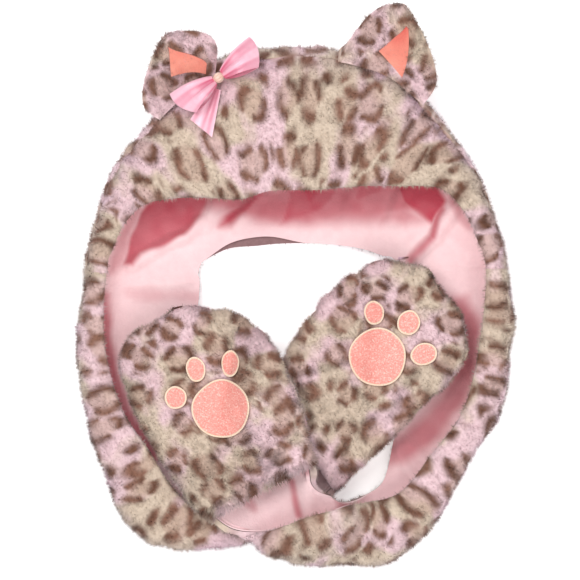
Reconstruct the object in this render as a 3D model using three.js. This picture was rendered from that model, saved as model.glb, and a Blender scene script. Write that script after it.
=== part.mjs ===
import * as THREE from "three";

// A plush hood with two scarf ends. It lies on its back with the face opening up, and each scarf end runs
// down one side, crosses under or over the other and ends in a mitten. X runs across the hood, +Y towards the
// crown and +Z up from the surface it lies on. Lengths are in millimetres.

// Hood
const HOOD_WIDTH = 370; // across the hood at the two scarf seams
const HOOD_LENGTH = 194; // from the scarf seams to the fold at the crown
const HOOD_FRONT = 125; // the forehead panel, from the crown fold to the brow edge
const HOOD_BACK = 171; // the back panel, from the crown fold to the nape hem
const HOOD_HEIGHT = 82; // how high the forehead panel stands

// Scarf ends
const SCARF_DROP = 257; // from the scarf seams to the lowest bend
const SCARF_WIDTH = 145; // flat width of a scarf end, and of its mitten
const ROLL_HEIGHT = 52; // how high the long edge rolls up

// Mittens
const MITTEN_HEIGHT = 40; // from the sole's fur to the top of the back's fur
const MITTEN_SEAM = 20; // height of the side seam over the sole's fur
const CUFF_EASE = 5; // how far the roll moves out where it opens flat before the cuff
const TIP_BULGE = 9; // how far the tip's middle reaches past its two corners

// Cloth
const FUR = 9; // plush with its pile
const LINING = 3; // fleece
const SATIN = 1; // inner ears
const PLY_GAP = 0.5; // between plush and fleece
const SEAM_GAP = 0.4; // between two panels at a seam
const LAY_GAP = 1.5; // between a piece and the one that it lies on

// Ears
const EAR_HEIGHT = 62; // from the seam on the hood to the tip
const EAR_PAD = 10; // thickness at the seam
const EAR_GAP = 1.2; // between the ear and the pile that it stands on
const EAR_CUP = 7; // how far the side edges curl forward

// Bow
const RIBBON = 28; // ribbon width
const BOW_LOOP = 40; // length of one loop
const BOW_PUFF = 15; // how far a loop stands open
const BOW_TAIL = 36; // length of the longer tail
const KNOT = 13; // knot length along the bow
const BOW_SATIN = 1.2; // ribbon thickness

// Paw pads
const PALM_WIDTH = 48;
const PAD_THICK = 1.4;

// Columns: x and y place the outline, as shares of half HOOD_WIDTH and of SCARF_DROP below the seam. aim is the
// way in from the outline, in degrees. reach is how far in the neck edge lies, and rim how far in the face edge
// lies, both as shares of SCARF_WIDTH. roll is a share of ROLL_HEIGHT.
const LEFT_ROWS = [
  [-0.98, 0.0, -7, 0.69, 0.14, 1.0],
  [-1.02, 0.25, 4, 0.72, 0.18, 0.96],
  [-0.97, 0.5, 20, 0.71, 0.23, 0.9],
  [-0.88, 0.7, 34, 0.69, 0.32, 0.86],
  [-0.79, 0.85, 45, 0.73, 0.37, 0.78],
  [-0.62, 0.93, 58, 0.72, 0.32, 0.66],
  [-0.37, 0.94, 76, 0.66, 0.23, 0.58],
  [-0.11, 0.89, 97, 0.62, 0.18, 0.56],
  [0.12, 0.8, 116, 0.66, 0.15, 0.56],
  [0.31, 0.67, 136, 0.72, 0.12, 0.56],
  [0.55, 0.49, 149, 0.86, 0.12, 0.56],
  [0.77, 0.33, 153, 0.92, 0.12, 0.56],
  [0.8, 0.25, 152, 0.83, 0.12, 0.56],
  [0.76, 0.16, 148, 0.61, 0.12, 0.56],
  [0.66, 0.085, 145, 0.3, 0.12, 0.56],
];
const RIGHT_ROWS = [
  [1.0, 0.0, 176, 0.66, 0.15, 1.0],
  [1.02, 0.23, 176, 0.66, 0.21, 0.96],
  [0.96, 0.47, 173, 0.6, 0.23, 0.94],
  [0.81, 0.65, 163, 0.47, 0.24, 0.98],
  [0.65, 0.85, 140, 0.4, 0.3, 1.06],
  [0.42, 0.98, 109, 0.42, 0.4, 1.12],
  [0.17, 0.99, 81, 0.4, 0.39, 1.12],
  [-0.06, 0.96, 54, 0.48, 0.36, 1.04],
  [-0.24, 0.9, 39, 0.6, 0.25, 0.88],
  [-0.41, 0.83, 29, 0.75, 0.14, 0.74],
  [-0.62, 0.64, 19, 0.91, 0.12, 0.7],
  [-0.79, 0.41, 11, 0.98, 0.12, 0.7],
  [-0.82, 0.32, 9, 0.93, 0.12, 0.7],
  [-0.78, 0.24, 10, 0.73, 0.12, 0.7],
  [-0.66, 0.2, 13, 0.42, 0.12, 0.7],
];
// The hood between its scarf seams, from the left one over the crown to the right one. y is a share of
// HOOD_LENGTH above the seam, reach of HOOD_BACK, rim of HOOD_FRONT and roll of HOOD_HEIGHT.
const HOOD_ROWS = [
  [-0.96, 0.14, -18, 0.58, 0.19, 0.66],
  [-0.91, 0.3, -32, 0.6, 0.24, 0.71],
  [-0.835, 0.47, -47, 0.66, 0.37, 0.79],
  [-0.67, 0.67, -59, 0.76, 0.64, 0.89],
  [-0.47, 0.87, -70, 0.92, 0.93, 0.96],
  [-0.21, 0.98, -81, 0.99, 1.0, 1.0],
  [0.16, 0.99, -94, 0.99, 1.0, 1.0],
  [0.45, 0.9, -105, 0.93, 0.86, 0.96],
  [0.66, 0.69, -118, 0.77, 0.57, 0.89],
  [0.8, 0.51, -130, 0.66, 0.31, 0.79],
  [0.9, 0.33, -148, 0.58, 0.21, 0.71],
  [0.96, 0.16, -166, 0.55, 0.18, 0.66],
];
// Columns: where the ear starts and ends along the ring, in hood rows, which way it points and how far it stands
// up from the flat, in degrees, its height as a share of EAR_HEIGHT, and how pointed it is.
const EARS = {
  left: [3.2, 4.38, 108, 34, 0.9, 0],
  right: [6.12, 7.6, 75, 28, 1.0, 0.36],
};
const EAR_LINE = [0.25, 0.29]; // v of the ear's front and back seams on the hood
// Columns: the pad's place in table rows from the seam and across the mitten, its width and length as shares of
// PALM_WIDTH, and its turn in degrees.
const PADS = {
  left: [
    [10.51, 0.482, 0.97, 1, 0],
    [11.31, 0.64, 0.32, 0.39, 8],
    [11.59, 0.47, 0.37, 0.41, -20],
    [10.92, 0.317, 0.44, 0.36, 18],
  ],
  right: [
    [10.47, 0.509, 1, 1, 0],
    [11.29, 0.636, 0.29, 0.43, -3],
    [11.3, 0.48, 0.31, 0.41, 12],
    [10.77, 0.339, 0.36, 0.37, 10],
  ],
};
// Dents in the forehead's pile. Columns: hood row, v of the middle, half length in v and depth as a share of FUR.
const DENTS = [
  [4.63, 0.07, 0.06, 0.6],
  [6.4, 0.135, 0.06, 0.55],
];
const DENT_WIDTH = 0.17; // half width, in hood rows
const BOW_PLACE = [4.42, 0.245]; // the bow's middle, in hood rows and v
const BOW_TURN = 36; // the bow's slant in degrees
const BOW_TAIL_TURN = -146; // the tail's direction from the bow's line, in degrees
const BOW_CLEAR = 6.5; // height of the bow's line over the pile
const BOW_UPRIGHT = 0.75; // 0 lies along the hood there and 1 faces straight up
const PAD_GAP = 0.5; // between a pad and the pile under it
const CUFF_ROW = { left: 8.4, right: 9 };
const TIP_ROUND_ROW = 11; // where a mitten starts to round off to its tip
const LAST_ROW = LEFT_ROWS.length - 1;
const LEFT_SEAM = LAST_ROW;
const RIGHT_SEAM = LEFT_SEAM + HOOD_ROWS.length + 1;
const RING_END = RIGHT_SEAM + LAST_ROW;

// Across a section, v runs from the face edge (0) over the outer turn to the neck edge (1).
const TURN = 0.35;
const CREASE = 0.27;
const STRIP_COLUMNS = [0, 0.06, 0.2, TURN, 0.44, 0.53, 0.7, 0.86, 0.96, 1];
const FRONT_COLUMNS = [0, 0.03, 0.1, 0.17, 0.23, CREASE];
const BACK_COLUMNS = [CREASE, TURN, 0.42, 0.52, 0.62, 0.8, 0.96, 1];

const clamp = (x, low, high) => Math.min(high, Math.max(low, x));
const mix = (a, b, share) => a + (b - a) * share;
const smooth = (low, high, x) => {
  const q = clamp((x - low) / (high - low), 0, 1);
  return q * q * (3 - 2 * q);
};

// One table row as lengths: the outline point, the neck-edge point, the face edge's distance and the height.
function section([x, y, aim, reach, rim, roll], drop, reachSize, rimSize, rollSize) {
  const outline = [x * (HOOD_WIDTH / 2), y * drop];
  const angle = THREE.MathUtils.degToRad(aim);
  const inner = reach * reachSize;
  return [
    ...outline,
    outline[0] + inner * Math.cos(angle),
    outline[1] + inner * Math.sin(angle),
    rim * rimSize,
    roll * rollSize,
  ];
}
const scarfSection = (row) => section(row, -SCARF_DROP, SCARF_WIDTH, SCARF_WIDTH, ROLL_HEIGHT);
const hoodSection = (row) => section(row, HOOD_LENGTH, HOOD_BACK, HOOD_FRONT, HOOD_HEIGHT);
const RING = [
  ...LEFT_ROWS.map(scarfSection).reverse(),
  ...HOOD_ROWS.map(hoodSection),
  ...RIGHT_ROWS.map(scarfSection),
];

// The section at s, by Catmull-Rom through the rows of the ring.
function ringAt(s) {
  const i = clamp(Math.floor(s), 0, RING_END - 1);
  const q = s - i;
  const [a, b, c, d] = [-1, 0, 1, 2].map((k) => RING[clamp(i + k, 0, RING_END)]);
  return b.map((_, k) => {
    const cubic = 3 * (b[k] - c[k]) + d[k] - a[k];
    const square = 2 * a[k] - 5 * b[k] + 4 * c[k] - d[k];
    return b[k] + 0.5 * q * (c[k] - a[k] + q * (square + q * cubic));
  });
}
const rowsFromSeam = (s) => Math.max(LEFT_SEAM - s, s - RIGHT_SEAM, 0);
const cuffRow = (s) => (s < LEFT_SEAM ? CUFF_ROW.left : CUFF_ROW.right);
const mittenShare = (s) => smooth(cuffRow(s) - 2.2, cuffRow(s), rowsFromSeam(s));
function tipRound(s) {
  const q = clamp((rowsFromSeam(s) - TIP_ROUND_ROW) / (LAST_ROW - TIP_ROUND_ROW), 0, 0.985);
  return Math.sqrt(1 - q * q);
}

// A point between plush and fleece, as a distance in from the outline and a height over the support.
function rolledPoint(reach, rim, roll, v) {
  const middle = roll / 2;
  const radius = Math.min(middle - FUR, (reach - FUR) / 2);
  if (v <= TURN) {
    const q = 1 - v / TURN;
    const top = roll - FUR;
    const inward = [FUR, FUR, mix(FUR, rim, 0.5), rim];
    const heights = [middle, mix(middle, top, 0.95), top + 0.04 * roll, top - 0.05 * roll];
    const weights = [(1 - q) ** 3, 3 * q * (1 - q) ** 2, 3 * q * q * (1 - q), q ** 3];
    const blend = (values) => values.reduce((sum, value, k) => sum + value * weights[k], 0);
    return [blend(inward), blend(heights)];
  }
  const arc = (Math.PI / 2) * radius;
  const along = ((v - TURN) / (1 - TURN)) * (arc + reach - FUR - radius);
  if (along > arc) return [FUR + radius + along - arc, FUR];
  const drop = (middle - FUR) / radius;
  const turn = along / radius;
  return [FUR + radius * (1 - Math.cos(turn)), middle - radius * drop * Math.sin(turn)];
}
const mittenInward = (reach, v) => reach / 2 - (reach / 2 - FUR) * Math.cos(Math.PI * v);
function solePoint(reach, s, v) {
  const belly = Math.sin(Math.PI * clamp(v, 0, 1)) ** 0.45 * tipRound(s);
  return [mittenInward(reach, v), MITTEN_SEAM - (MITTEN_SEAM - FUR) * belly];
}

// The height that a piece lies at: a grid of the tops under it, spread and then averaged over a smaller radius,
// so that it is nowhere lower than what it covers.
const CELL = 5;
const SPREAD_CELLS = 5;
const BLUR_CELLS = 3;
const cellsAround = (radius) => {
  const side = Array.from({ length: 2 * radius + 1 }, (_, k) => k - radius);
  return side.flatMap((i) => side.map((j) => [i, j])).filter(([i, j]) => Math.hypot(i, j) < radius + 0.5);
};
function supportField(points) {
  const tops = new Map();
  const key = (i, j) => i * 4096 + j;
  const put = (map, i, j, z) => map.set(key(i, j), Math.max(map.get(key(i, j)) ?? 0, z));
  const around = cellsAround(SPREAD_CELLS);
  const near = cellsAround(BLUR_CELLS);
  for (const [x, y, z] of points) put(tops, Math.round(x / CELL), Math.round(y / CELL), z);
  const cells = [...tops].map(([k, z]) => [Math.round(k / 4096), k - Math.round(k / 4096) * 4096, z]);
  const spread = new Map();
  for (const [i, j, z] of cells) for (const [a, b] of around) put(spread, i + a, j + b, z);
  const mean = (i, j) =>
    near.reduce((sum, [a, b]) => sum + (spread.get(key(i + a, j + b)) ?? 0), 0) / near.length;
  const known = new Map();
  const at = (i, j) => {
    if (!known.has(key(i, j))) known.set(key(i, j), mean(i, j));
    return known.get(key(i, j));
  };
  return (x, y) => {
    const [i, j] = [Math.floor(x / CELL), Math.floor(y / CELL)];
    const [p, q] = [x / CELL - i, y / CELL - j];
    return mix(mix(at(i, j), at(i + 1, j), p), mix(at(i, j + 1), at(i + 1, j + 1), p), q);
  };
}

// A point of the surface between plush and fleece. lift gives the height that it lies at.
function placed(s, inward, height, lift) {
  const [x, y, innerX, innerY] = ringAt(s);
  const reach = Math.hypot(innerX - x, innerY - y);
  const [aimX, aimY] = [(innerX - x) / reach, (innerY - y) / reach];
  const turn = s < LEFT_SEAM ? 1 : -1;
  const past = clamp((rowsFromSeam(s) - TIP_ROUND_ROW) / (LAST_ROW - TIP_ROUND_ROW), 0, 1) ** 2;
  const share = clamp((inward - FUR) / (reach - 2 * FUR), 0, 1);
  const bulge = turn * TIP_BULGE * past * Math.sin(Math.PI * share);
  const point = [x + aimX * inward + aimY * bulge, y + aimY * inward - aimX * bulge];
  return new THREE.Vector3(...point, height + lift(...point, s));
}
const reachAt = (s) => {
  const [x, y, innerX, innerY] = ringAt(s);
  return Math.hypot(innerX - x, innerY - y);
};
const wallSurface = (lift) => (s, v) => {
  const [, , , , rim, roll] = ringAt(s);
  const reach = reachAt(s);
  const share = mittenShare(s);
  const [inward, height] = rolledPoint(reach, rim, roll, v);
  const [soleInward, soleHeight] = solePoint(reach, s, v);
  const outward = 4 * share * (1 - share) * CUFF_EASE;
  return placed(s, mix(inward, soleInward, share) - outward, mix(height, soleHeight, share), lift);
};
// The back of a mitten, which springs from the sole's side seam.
const mittenSurface = (lift) => {
  const surface = (s, v) => {
    const crown = Math.sin(Math.PI * clamp(v, 0, 1)) ** 0.6 * tipRound(s);
    const height = MITTEN_SEAM + SEAM_GAP + (MITTEN_HEIGHT - FUR - MITTEN_SEAM) * crown;
    return placed(s, mittenInward(reachAt(s), v), height, lift);
  };
  return Object.assign(surface, { facesIn: true });
};

// The outward normal of a surface, from small steps along it.
function plainNormal(surface, s, v, low = 0, high = 1) {
  const step = 0.004;
  const [v0, v1] = [Math.max(0, v - step), Math.min(1, v + step)];
  const [s0, s1] = [Math.max(low, s - step), Math.min(high, s + step)];
  const along = surface(s1, v).sub(surface(s0, v));
  const across = surface(s, v1).sub(surface(s, v0));
  return along.cross(across).normalize();
}

// The normal of a cloth panel. The two sides of a seam share one normal, so that they stay parallel. It is
// level all round a mitten's side seam, and points past the tip in the last row.
const snapped = (value, seams) => seams.find((seam) => Math.abs(value - seam) < 0.02) ?? value;
function normalAt(surface, sAt, vAt) {
  const s = snapped(sAt, [LEFT_SEAM, RIGHT_SEAM]);
  const v = snapped(vAt, [CREASE]);
  const normal = plainNormal(surface, s, v, 0, RING_END);
  const edge = v === 0 || v === 1;
  if (edge && mittenShare(s) === 1) normal.setZ(0).normalize();
  if (rowsFromSeam(s) < LAST_ROW) return normal;
  const across = surface(s, Math.min(1, v + 0.02)).sub(surface(s, Math.max(0, v - 0.02)));
  const past = new THREE.Vector3(-across.y, across.x, 0).normalize();
  if (s < LEFT_SEAM !== Boolean(surface.facesIn)) past.negate();
  return edge ? past.add(normal).normalize() : past;
}

function solidGeometry(points, faces) {
  const geometry = new THREE.BufferGeometry();
  geometry.setAttribute("position", new THREE.Float32BufferAttribute(points.flat(), 3));
  geometry.setIndex(faces.flat());
  return geometry;
}

// A closed wall between two skins of points, each a grid of rows and columns.
function closedWall(outer, inner, rows, columns) {
  const inside = rows * columns;
  const at = (i, j) => i * columns + j;
  const faces = [];
  const quad = (a, b, c, d) => faces.push([a, b, c], [a, c, d]);
  for (let i = 0; i + 1 < rows; i++)
    for (let j = 0; j + 1 < columns; j++) {
      quad(at(i, j), at(i + 1, j), at(i + 1, j + 1), at(i, j + 1));
      quad(inside + at(i, j), inside + at(i, j + 1), inside + at(i + 1, j + 1), inside + at(i + 1, j));
    }
  for (let i = 0; i + 1 < rows; i++) {
    quad(at(i, 0), inside + at(i, 0), inside + at(i + 1, 0), at(i + 1, 0));
    const j = columns - 1;
    quad(at(i, j), at(i + 1, j), inside + at(i + 1, j), inside + at(i, j));
  }
  for (let j = 0; j + 1 < columns; j++) {
    quad(at(0, j + 1), inside + at(0, j + 1), inside + at(0, j), at(0, j));
    const i = rows - 1;
    quad(inside + at(i, j), inside + at(i, j + 1), at(i, j + 1), at(i, j));
  }
  return solidGeometry([...outer, ...inner], faces);
}

// Plush and fleece are walls on either side of the surface. pile gives the share of the thickness at a place.
function clothWall(surface, rows, columns, from, to, pile = () => 1, normal = normalAt) {
  const skin = (offset) =>
    rows.flatMap((s) =>
      columns.map((v) => {
        const point = surface(s, v);
        return point.addScaledVector(normal(surface, s, v), offset * pile(s, v)).toArray();
      }),
    );
  return closedWall(skin(to), skin(from), rows.length, columns.length);
}

// Row positions from one ring position to another, with a few steps for each table row.
function steps(from, to, perRow) {
  const count = Math.ceil(Math.abs(to - from) * perRow);
  return Array.from({ length: count + 1 }, (_, k) => mix(from, to, k / count));
}

const flat = () => 0;
const plyTop = FUR + PLY_GAP + LINING;
const seamStep = 0.009; // half a seam gap, in table rows
const mittenStep = 2.3;
const stripStep = 2.1;

// What the left scarf end comes to lie on: the floor of the right one and the hood's nape corner.
const floorPoints = (surface, from, to) =>
  steps(from, to, 12).flatMap((s) =>
    steps(0.6, 1, 30).map((v) => {
      const { x, y } = surface(s, v);
      return [x, y, plyTop + LAY_GAP];
    }),
  );
const rightFloor = supportField(floorPoints(wallSurface(flat), RIGHT_SEAM - 4, RIGHT_SEAM + 3.6));
const leftLift = (x, y, s) => rightFloor(x, y) * smooth(6, 7.5, LEFT_SEAM - s);
const leftSurface = wallSurface(leftLift);
const leftMitten = mittenSurface(leftLift);

// What the right scarf end comes to lie on: the left one, with its mitten.
const topPoints = (surface, from, to, offset) =>
  steps(from, to, 14).flatMap((s) =>
    steps(0, 1, 40).map((v) => {
      const [x, y, z] = surface(s, v).addScaledVector(normalAt(surface, s, v), offset).toArray();
      return [x, y, z + LAY_GAP];
    }),
  );
const leftTop = supportField([
  ...floorPoints(leftSurface, LEFT_SEAM - 5.6, LEFT_SEAM),
  ...topPoints(leftSurface, LEFT_SEAM - CUFF_ROW.left, LEFT_SEAM - 5.6, FUR),
  ...topPoints(leftSurface, LEFT_SEAM - CUFF_ROW.left, LEFT_SEAM - 5.6, -PLY_GAP - LINING),
  ...topPoints(leftMitten, 0, LEFT_SEAM - CUFF_ROW.left, -FUR),
]);
const rightLift = (x, y, s) => leftTop(x, y) * smooth(4.5, 6.5, s - RIGHT_SEAM);
const rightSurface = wallSurface(rightLift);
const rightMitten = mittenSurface(rightLift);
const hoodSurface = wallSurface(flat);

const plush = new THREE.MeshStandardMaterial({ color: 0xcdbcb0, roughness: 0.95, metalness: 0 });
const fleece = new THREE.MeshStandardMaterial({ color: 0xf0c4cb, roughness: 0.9, metalness: 0 });
const coral = new THREE.MeshStandardMaterial({ color: 0xf2918a, roughness: 0.5, metalness: 0 });
const ribbon = new THREE.MeshStandardMaterial({ color: 0xf2a9c1, roughness: 0.35, metalness: 0 });

const hoodScarf = new THREE.Group();
hoodScarf.name = "hood_scarf";
function add(name, geometry, material) {
  geometry.computeVertexNormals();
  const mesh = new THREE.Mesh(geometry, material);
  mesh.name = name;
  hoodScarf.add(mesh);
  return mesh;
}

const liningFrom = -PLY_GAP - LINING;
// The pile thins at the long edges, but not where a mitten's back is sewn to them.
const EDGE_PILE = 0.55;
const hemPile = (s, v) => (v === 0 || v === 1 ? mix(EDGE_PILE, 1, mittenShare(s)) : 1);
function addHood() {
  const rows = steps(LEFT_SEAM + seamStep, RIGHT_SEAM - seamStep, 2);
  const seam = 0.0012;
  const front = FRONT_COLUMNS.map((v) => (v === CREASE ? CREASE - seam : v));
  const back = BACK_COLUMNS.map((v) => (v === CREASE ? CREASE + seam : v));
  const dentRows = DENTS.flatMap(([row]) => [-1, 0, 1].map((k) => LEFT_SEAM + 1 + row + k * DENT_WIDTH));
  const frontRows = [...new Set([...rows, ...dentRows])].sort((a, b) => a - b);
  add("hood_front", clothWall(hoodSurface, frontRows, front, 0, FUR, foreheadPile), plush);
  add("hood_back", clothWall(hoodSurface, rows, back, 0, FUR, hemPile), plush);
  const whole = [...FRONT_COLUMNS, ...BACK_COLUMNS.slice(1)];
  add("hood_lining", clothWall(hoodSurface, rows, whole, liningFrom, -PLY_GAP), fleece);
}

function foreheadPile(s, v) {
  const deepest = DENTS.map(([row, middle, half, depth]) => {
    const along = clamp(1 - Math.abs(v - middle) / half, 0, 1);
    const across = clamp(1 - Math.abs(s - LEFT_SEAM - 1 - row) / DENT_WIDTH, 0, 1);
    return depth * Math.sqrt(along) * across;
  });
  return hemPile(s, v) - Math.max(...deepest);
}

function addScarfEnd(side, surface, mitten, seamAt, tipAt) {
  const away = Math.sign(tipAt - seamAt);
  const cuffAt = seamAt + away * CUFF_ROW[side];
  const mittenRows = steps(cuffAt, tipAt, mittenStep);
  const opening = steps(cuffAt - away * 1.25, cuffAt, 4).slice(0, -1);
  const rolled = steps(seamAt + away * seamStep, cuffAt - away * 1.25, stripStep).slice(0, -1);
  const rows = [...rolled, ...opening, ...mittenRows];
  for (const list of [rows, mittenRows]) list.sort((a, b) => a - b);
  add(`scarf_${side}`, clothWall(surface, rows, STRIP_COLUMNS, 0, FUR, hemPile), plush);
  add(`scarf_lining_${side}`, clothWall(surface, rows, STRIP_COLUMNS, liningFrom, -PLY_GAP), fleece);
  add(`mitten_back_${side}`, turned(clothWall(mitten, mittenRows, STRIP_COLUMNS, 0, -FUR)), plush);
}

// The same closed mesh with its faces turned round.
function turned(geometry) {
  const index = geometry.index.array;
  for (let i = 0; i < index.length; i += 3) [index[i], index[i + 1]] = [index[i + 1], index[i]];
  return geometry;
}

// An ear is padded between a front and a back skin, which stand on two lines along the hood.
const EAR_ACROSS = [0, 0.12, 0.26, 0.4, 0.5, 0.6, 0.74, 0.88, 1];
const EAR_UP = [0, 0.14, 0.32, 0.5, 0.66, 0.8, 0.92, 1];
function earPoint([from, to, turnDeg, leanDeg, tall, pointed], a, b, skin, out) {
  const s = (share) => LEFT_SEAM + 1 + mix(from, to, share);
  const foot = (share, v) => {
    const normal = normalAt(hoodSurface, s(share), v);
    return hoodSurface(s(share), v).addScaledVector(normal, FUR + EAR_GAP);
  };
  const feet = (share) => EAR_LINE.map((v) => foot(share, v));
  const centre = (share) => feet(share)[0].add(feet(share)[1]).multiplyScalar(0.5);
  const [turn, lean] = [turnDeg, leanDeg].map(THREE.MathUtils.degToRad);
  const level = Math.cos(lean);
  const axis = new THREE.Vector3(level * Math.cos(turn), level * Math.sin(turn), Math.sin(lean));
  const across = centre(1).sub(centre(0)).normalize();
  const facing = new THREE.Vector3().crossVectors(across, axis).normalize();
  const middle = centre(0.5);
  const round = Math.sqrt(Math.max(0, 1 - b ** 3)) * (1 + 0.36 * Math.sin(Math.PI * b));
  const spike = (1 - b ** 1.25) * 0.98 + 0.02;
  const width = Math.max(0.05, mix(round, spike, pointed * 0.75));
  const curl = EAR_CUP * (2 * a - 1) ** 2 * smooth(0, 0.6, b) * (1 - 0.5 * b);
  const lens = 0.22 + 0.6 * Math.sin(Math.PI * a) ** 0.6 * (1 - b) ** 0.5;
  const thick = mix(1, lens, smooth(0, 0.3, b));
  const point = centre(a).sub(middle).multiplyScalar(width).add(middle);
  point.addScaledVector(axis, EAR_HEIGHT * tall * b).addScaledVector(facing, curl);
  const [front, back] = feet(a);
  const half = front.clone().sub(back).multiplyScalar(0.5);
  const padded = facing.clone().multiplyScalar(EAR_PAD / 2);
  const offset = half.lerp(padded, smooth(0, 0.3, b)).multiplyScalar(thick);
  return point.addScaledVector(offset, skin).addScaledVector(facing, out).toArray();
}
function addEar(side) {
  const ear = EARS[side];
  const skin = (rows, columns, which, out) =>
    rows.flatMap((b) => columns.map((a) => earPoint(ear, a, b, which, out)));
  const whole = closedWall(
    skin(EAR_UP, EAR_ACROSS, 1, 0),
    skin(EAR_UP, EAR_ACROSS, -1, 0),
    EAR_UP.length,
    EAR_ACROSS.length,
  );
  add(`ear_${side}`, turned(whole), plush);
  const [rows, columns] = [EAR_UP.slice(1, 6), EAR_ACROSS.slice(2, 7)];
  const patch = closedWall(
    skin(rows, columns, 1, PLY_GAP + SATIN),
    skin(rows, columns, 1, PLY_GAP),
    rows.length,
    columns.length,
  );
  add(`ear_inner_${side}`, turned(patch), coral);
}

// The height of a panel's top over a point of the plan.
function topOver(geometry, x, y) {
  const at = geometry.attributes.position;
  const index = geometry.index.array;
  const point = (k) => new THREE.Vector3().fromBufferAttribute(at, index[k]);
  let top = -Infinity;
  for (let k = 0; k < index.length; k += 3) {
    const [a, b, c] = [point(k), point(k + 1), point(k + 2)];
    const det = (b.y - c.y) * (a.x - c.x) + (c.x - b.x) * (a.y - c.y);
    const p = ((b.y - c.y) * (x - c.x) + (c.x - b.x) * (y - c.y)) / det;
    const q = ((c.y - a.y) * (x - c.x) + (a.x - c.x) * (y - c.y)) / det;
    if (p >= 0 && q >= 0 && p + q <= 1) top = Math.max(top, p * a.z + q * b.z + (1 - p - q) * c.z);
  }
  return top;
}

// A pad is a low dome that follows the mitten's back.
const PAD_SIDES = 12;
const PAD_RINGS = [0.62, 1];
const PAD_FEEL = [-3, 0, 3].flatMap((i) => [-3, 0, 3].map((j) => [i, j])); // the pile around that lifts a palm pad
function padGeometry(mitten, back, seamAt, away, [row, v, wide, long, turnDeg]) {
  const centre = mitten(seamAt + away * row, v);
  const turn = THREE.MathUtils.degToRad(turnDeg);
  const feel = Math.sqrt(wide);
  const skins = (r, angle) => {
    const a = (wide * PALM_WIDTH * r * Math.cos(angle)) / 2;
    const b = (long * PALM_WIDTH * r * Math.sin(angle)) / 2;
    const x = centre.x + a * Math.cos(turn) - b * Math.sin(turn);
    const y = centre.y + a * Math.sin(turn) + b * Math.cos(turn);
    const around = PAD_FEEL.map(([i, j]) => topOver(back, x + i * feel, y + j * feel));
    const low = Math.max(...around) + PAD_GAP;
    return [
      [x, y, low + PAD_THICK * (1 - 0.45 * r ** 4)],
      [x, y, low],
    ];
  };
  const places = [[0, 0]];
  for (const r of PAD_RINGS)
    for (let k = 0; k < PAD_SIDES; k++) places.push([r, (2 * Math.PI * k) / PAD_SIDES]);
  const pairs = places.map(([r, angle]) => skins(r, angle));
  const count = pairs.length;
  const at = (ring, k) => 1 + ring * PAD_SIDES + (k % PAD_SIDES);
  const faces = [];
  const both = (a, b, c) => faces.push([a, b, c], [count + a, count + c, count + b]);
  for (let k = 0; k < PAD_SIDES; k++) {
    both(0, at(0, k), at(0, k + 1));
    both(at(0, k), at(1, k), at(1, k + 1));
    both(at(0, k), at(1, k + 1), at(0, k + 1));
    faces.push([at(1, k), count + at(1, k), count + at(1, k + 1)]);
    faces.push([at(1, k), count + at(1, k + 1), at(1, k + 1)]);
  }
  return solidGeometry([...pairs.map((pair) => pair[0]), ...pairs.map((pair) => pair[1])], faces);
}
function addPads(side, mitten, seamAt, away) {
  const back = hoodScarf.getObjectByName(`mitten_back_${side}`).geometry;
  PADS[side].forEach((pad, k) => {
    const name = k === 0 ? `palm_pad_${side}` : `toe_pad_${side}_${k}`;
    add(name, padGeometry(mitten, back, seamAt, away, pad), coral);
  });
}

// The bow, along its own x, with z away from the hood.
function bowFrame() {
  const [s, v] = BOW_PLACE;
  const up = normalAt(hoodSurface, LEFT_SEAM + 1 + s, v).lerp(new THREE.Vector3(0, 0, 1), BOW_UPRIGHT);
  up.normalize();
  const turn = THREE.MathUtils.degToRad(BOW_TURN);
  const along = new THREE.Vector3(Math.cos(turn), Math.sin(turn), 0);
  const side = new THREE.Vector3().crossVectors(up, along).normalize();
  const x = new THREE.Vector3().crossVectors(side, up);
  const origin = hoodSurface(LEFT_SEAM + 1 + s, v).addScaledVector(up, FUR + BOW_CLEAR);
  return new THREE.Matrix4().makeBasis(x, side, up).setPosition(origin);
}
const loopSurface = (way) => (s, v) => {
  const turn = Math.PI * (2 * s - 1);
  const open = 0.5 * (1 + Math.cos(turn));
  const x = KNOT / 2 + SEAM_GAP + BOW_LOOP * open * (1 - 0.16 * (2 * v - 1) ** 2);
  const fan = mix(0.42, 1, Math.sqrt(open));
  const y = RIBBON * (v - 0.5) * fan;
  const z = BOW_PUFF * (0.5 - 0.5 * Math.sin(turn) * Math.sin(Math.PI * clamp(open, 0, 1)) ** 0.5);
  const crumple = 2.2 * Math.cos(2 * Math.PI * v) * open * (1 - open);
  const lift = 1.6 * Math.sign(-Math.sin(turn)) * (1 - open) ** 2;
  return new THREE.Vector3(way * x, y, z + crumple + lift);
};
const tailSurface = (turnDeg) => (s, v) => {
  const turn = THREE.MathUtils.degToRad(turnDeg);
  const out = KNOT / 2 + 1.5 + (BOW_TAIL + 8 * (v - 0.5)) * s;
  const side = RIBBON * (v - 0.5) * mix(0.3, 0.8, s);
  const point = [out * Math.cos(turn) - side * Math.sin(turn), out * Math.sin(turn) + side * Math.cos(turn)];
  return new THREE.Vector3(...point, -2.6 + 0.9 * Math.sin(2.4 * s) + 0.5 * Math.cos(2 * Math.PI * v) * s);
};
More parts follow.
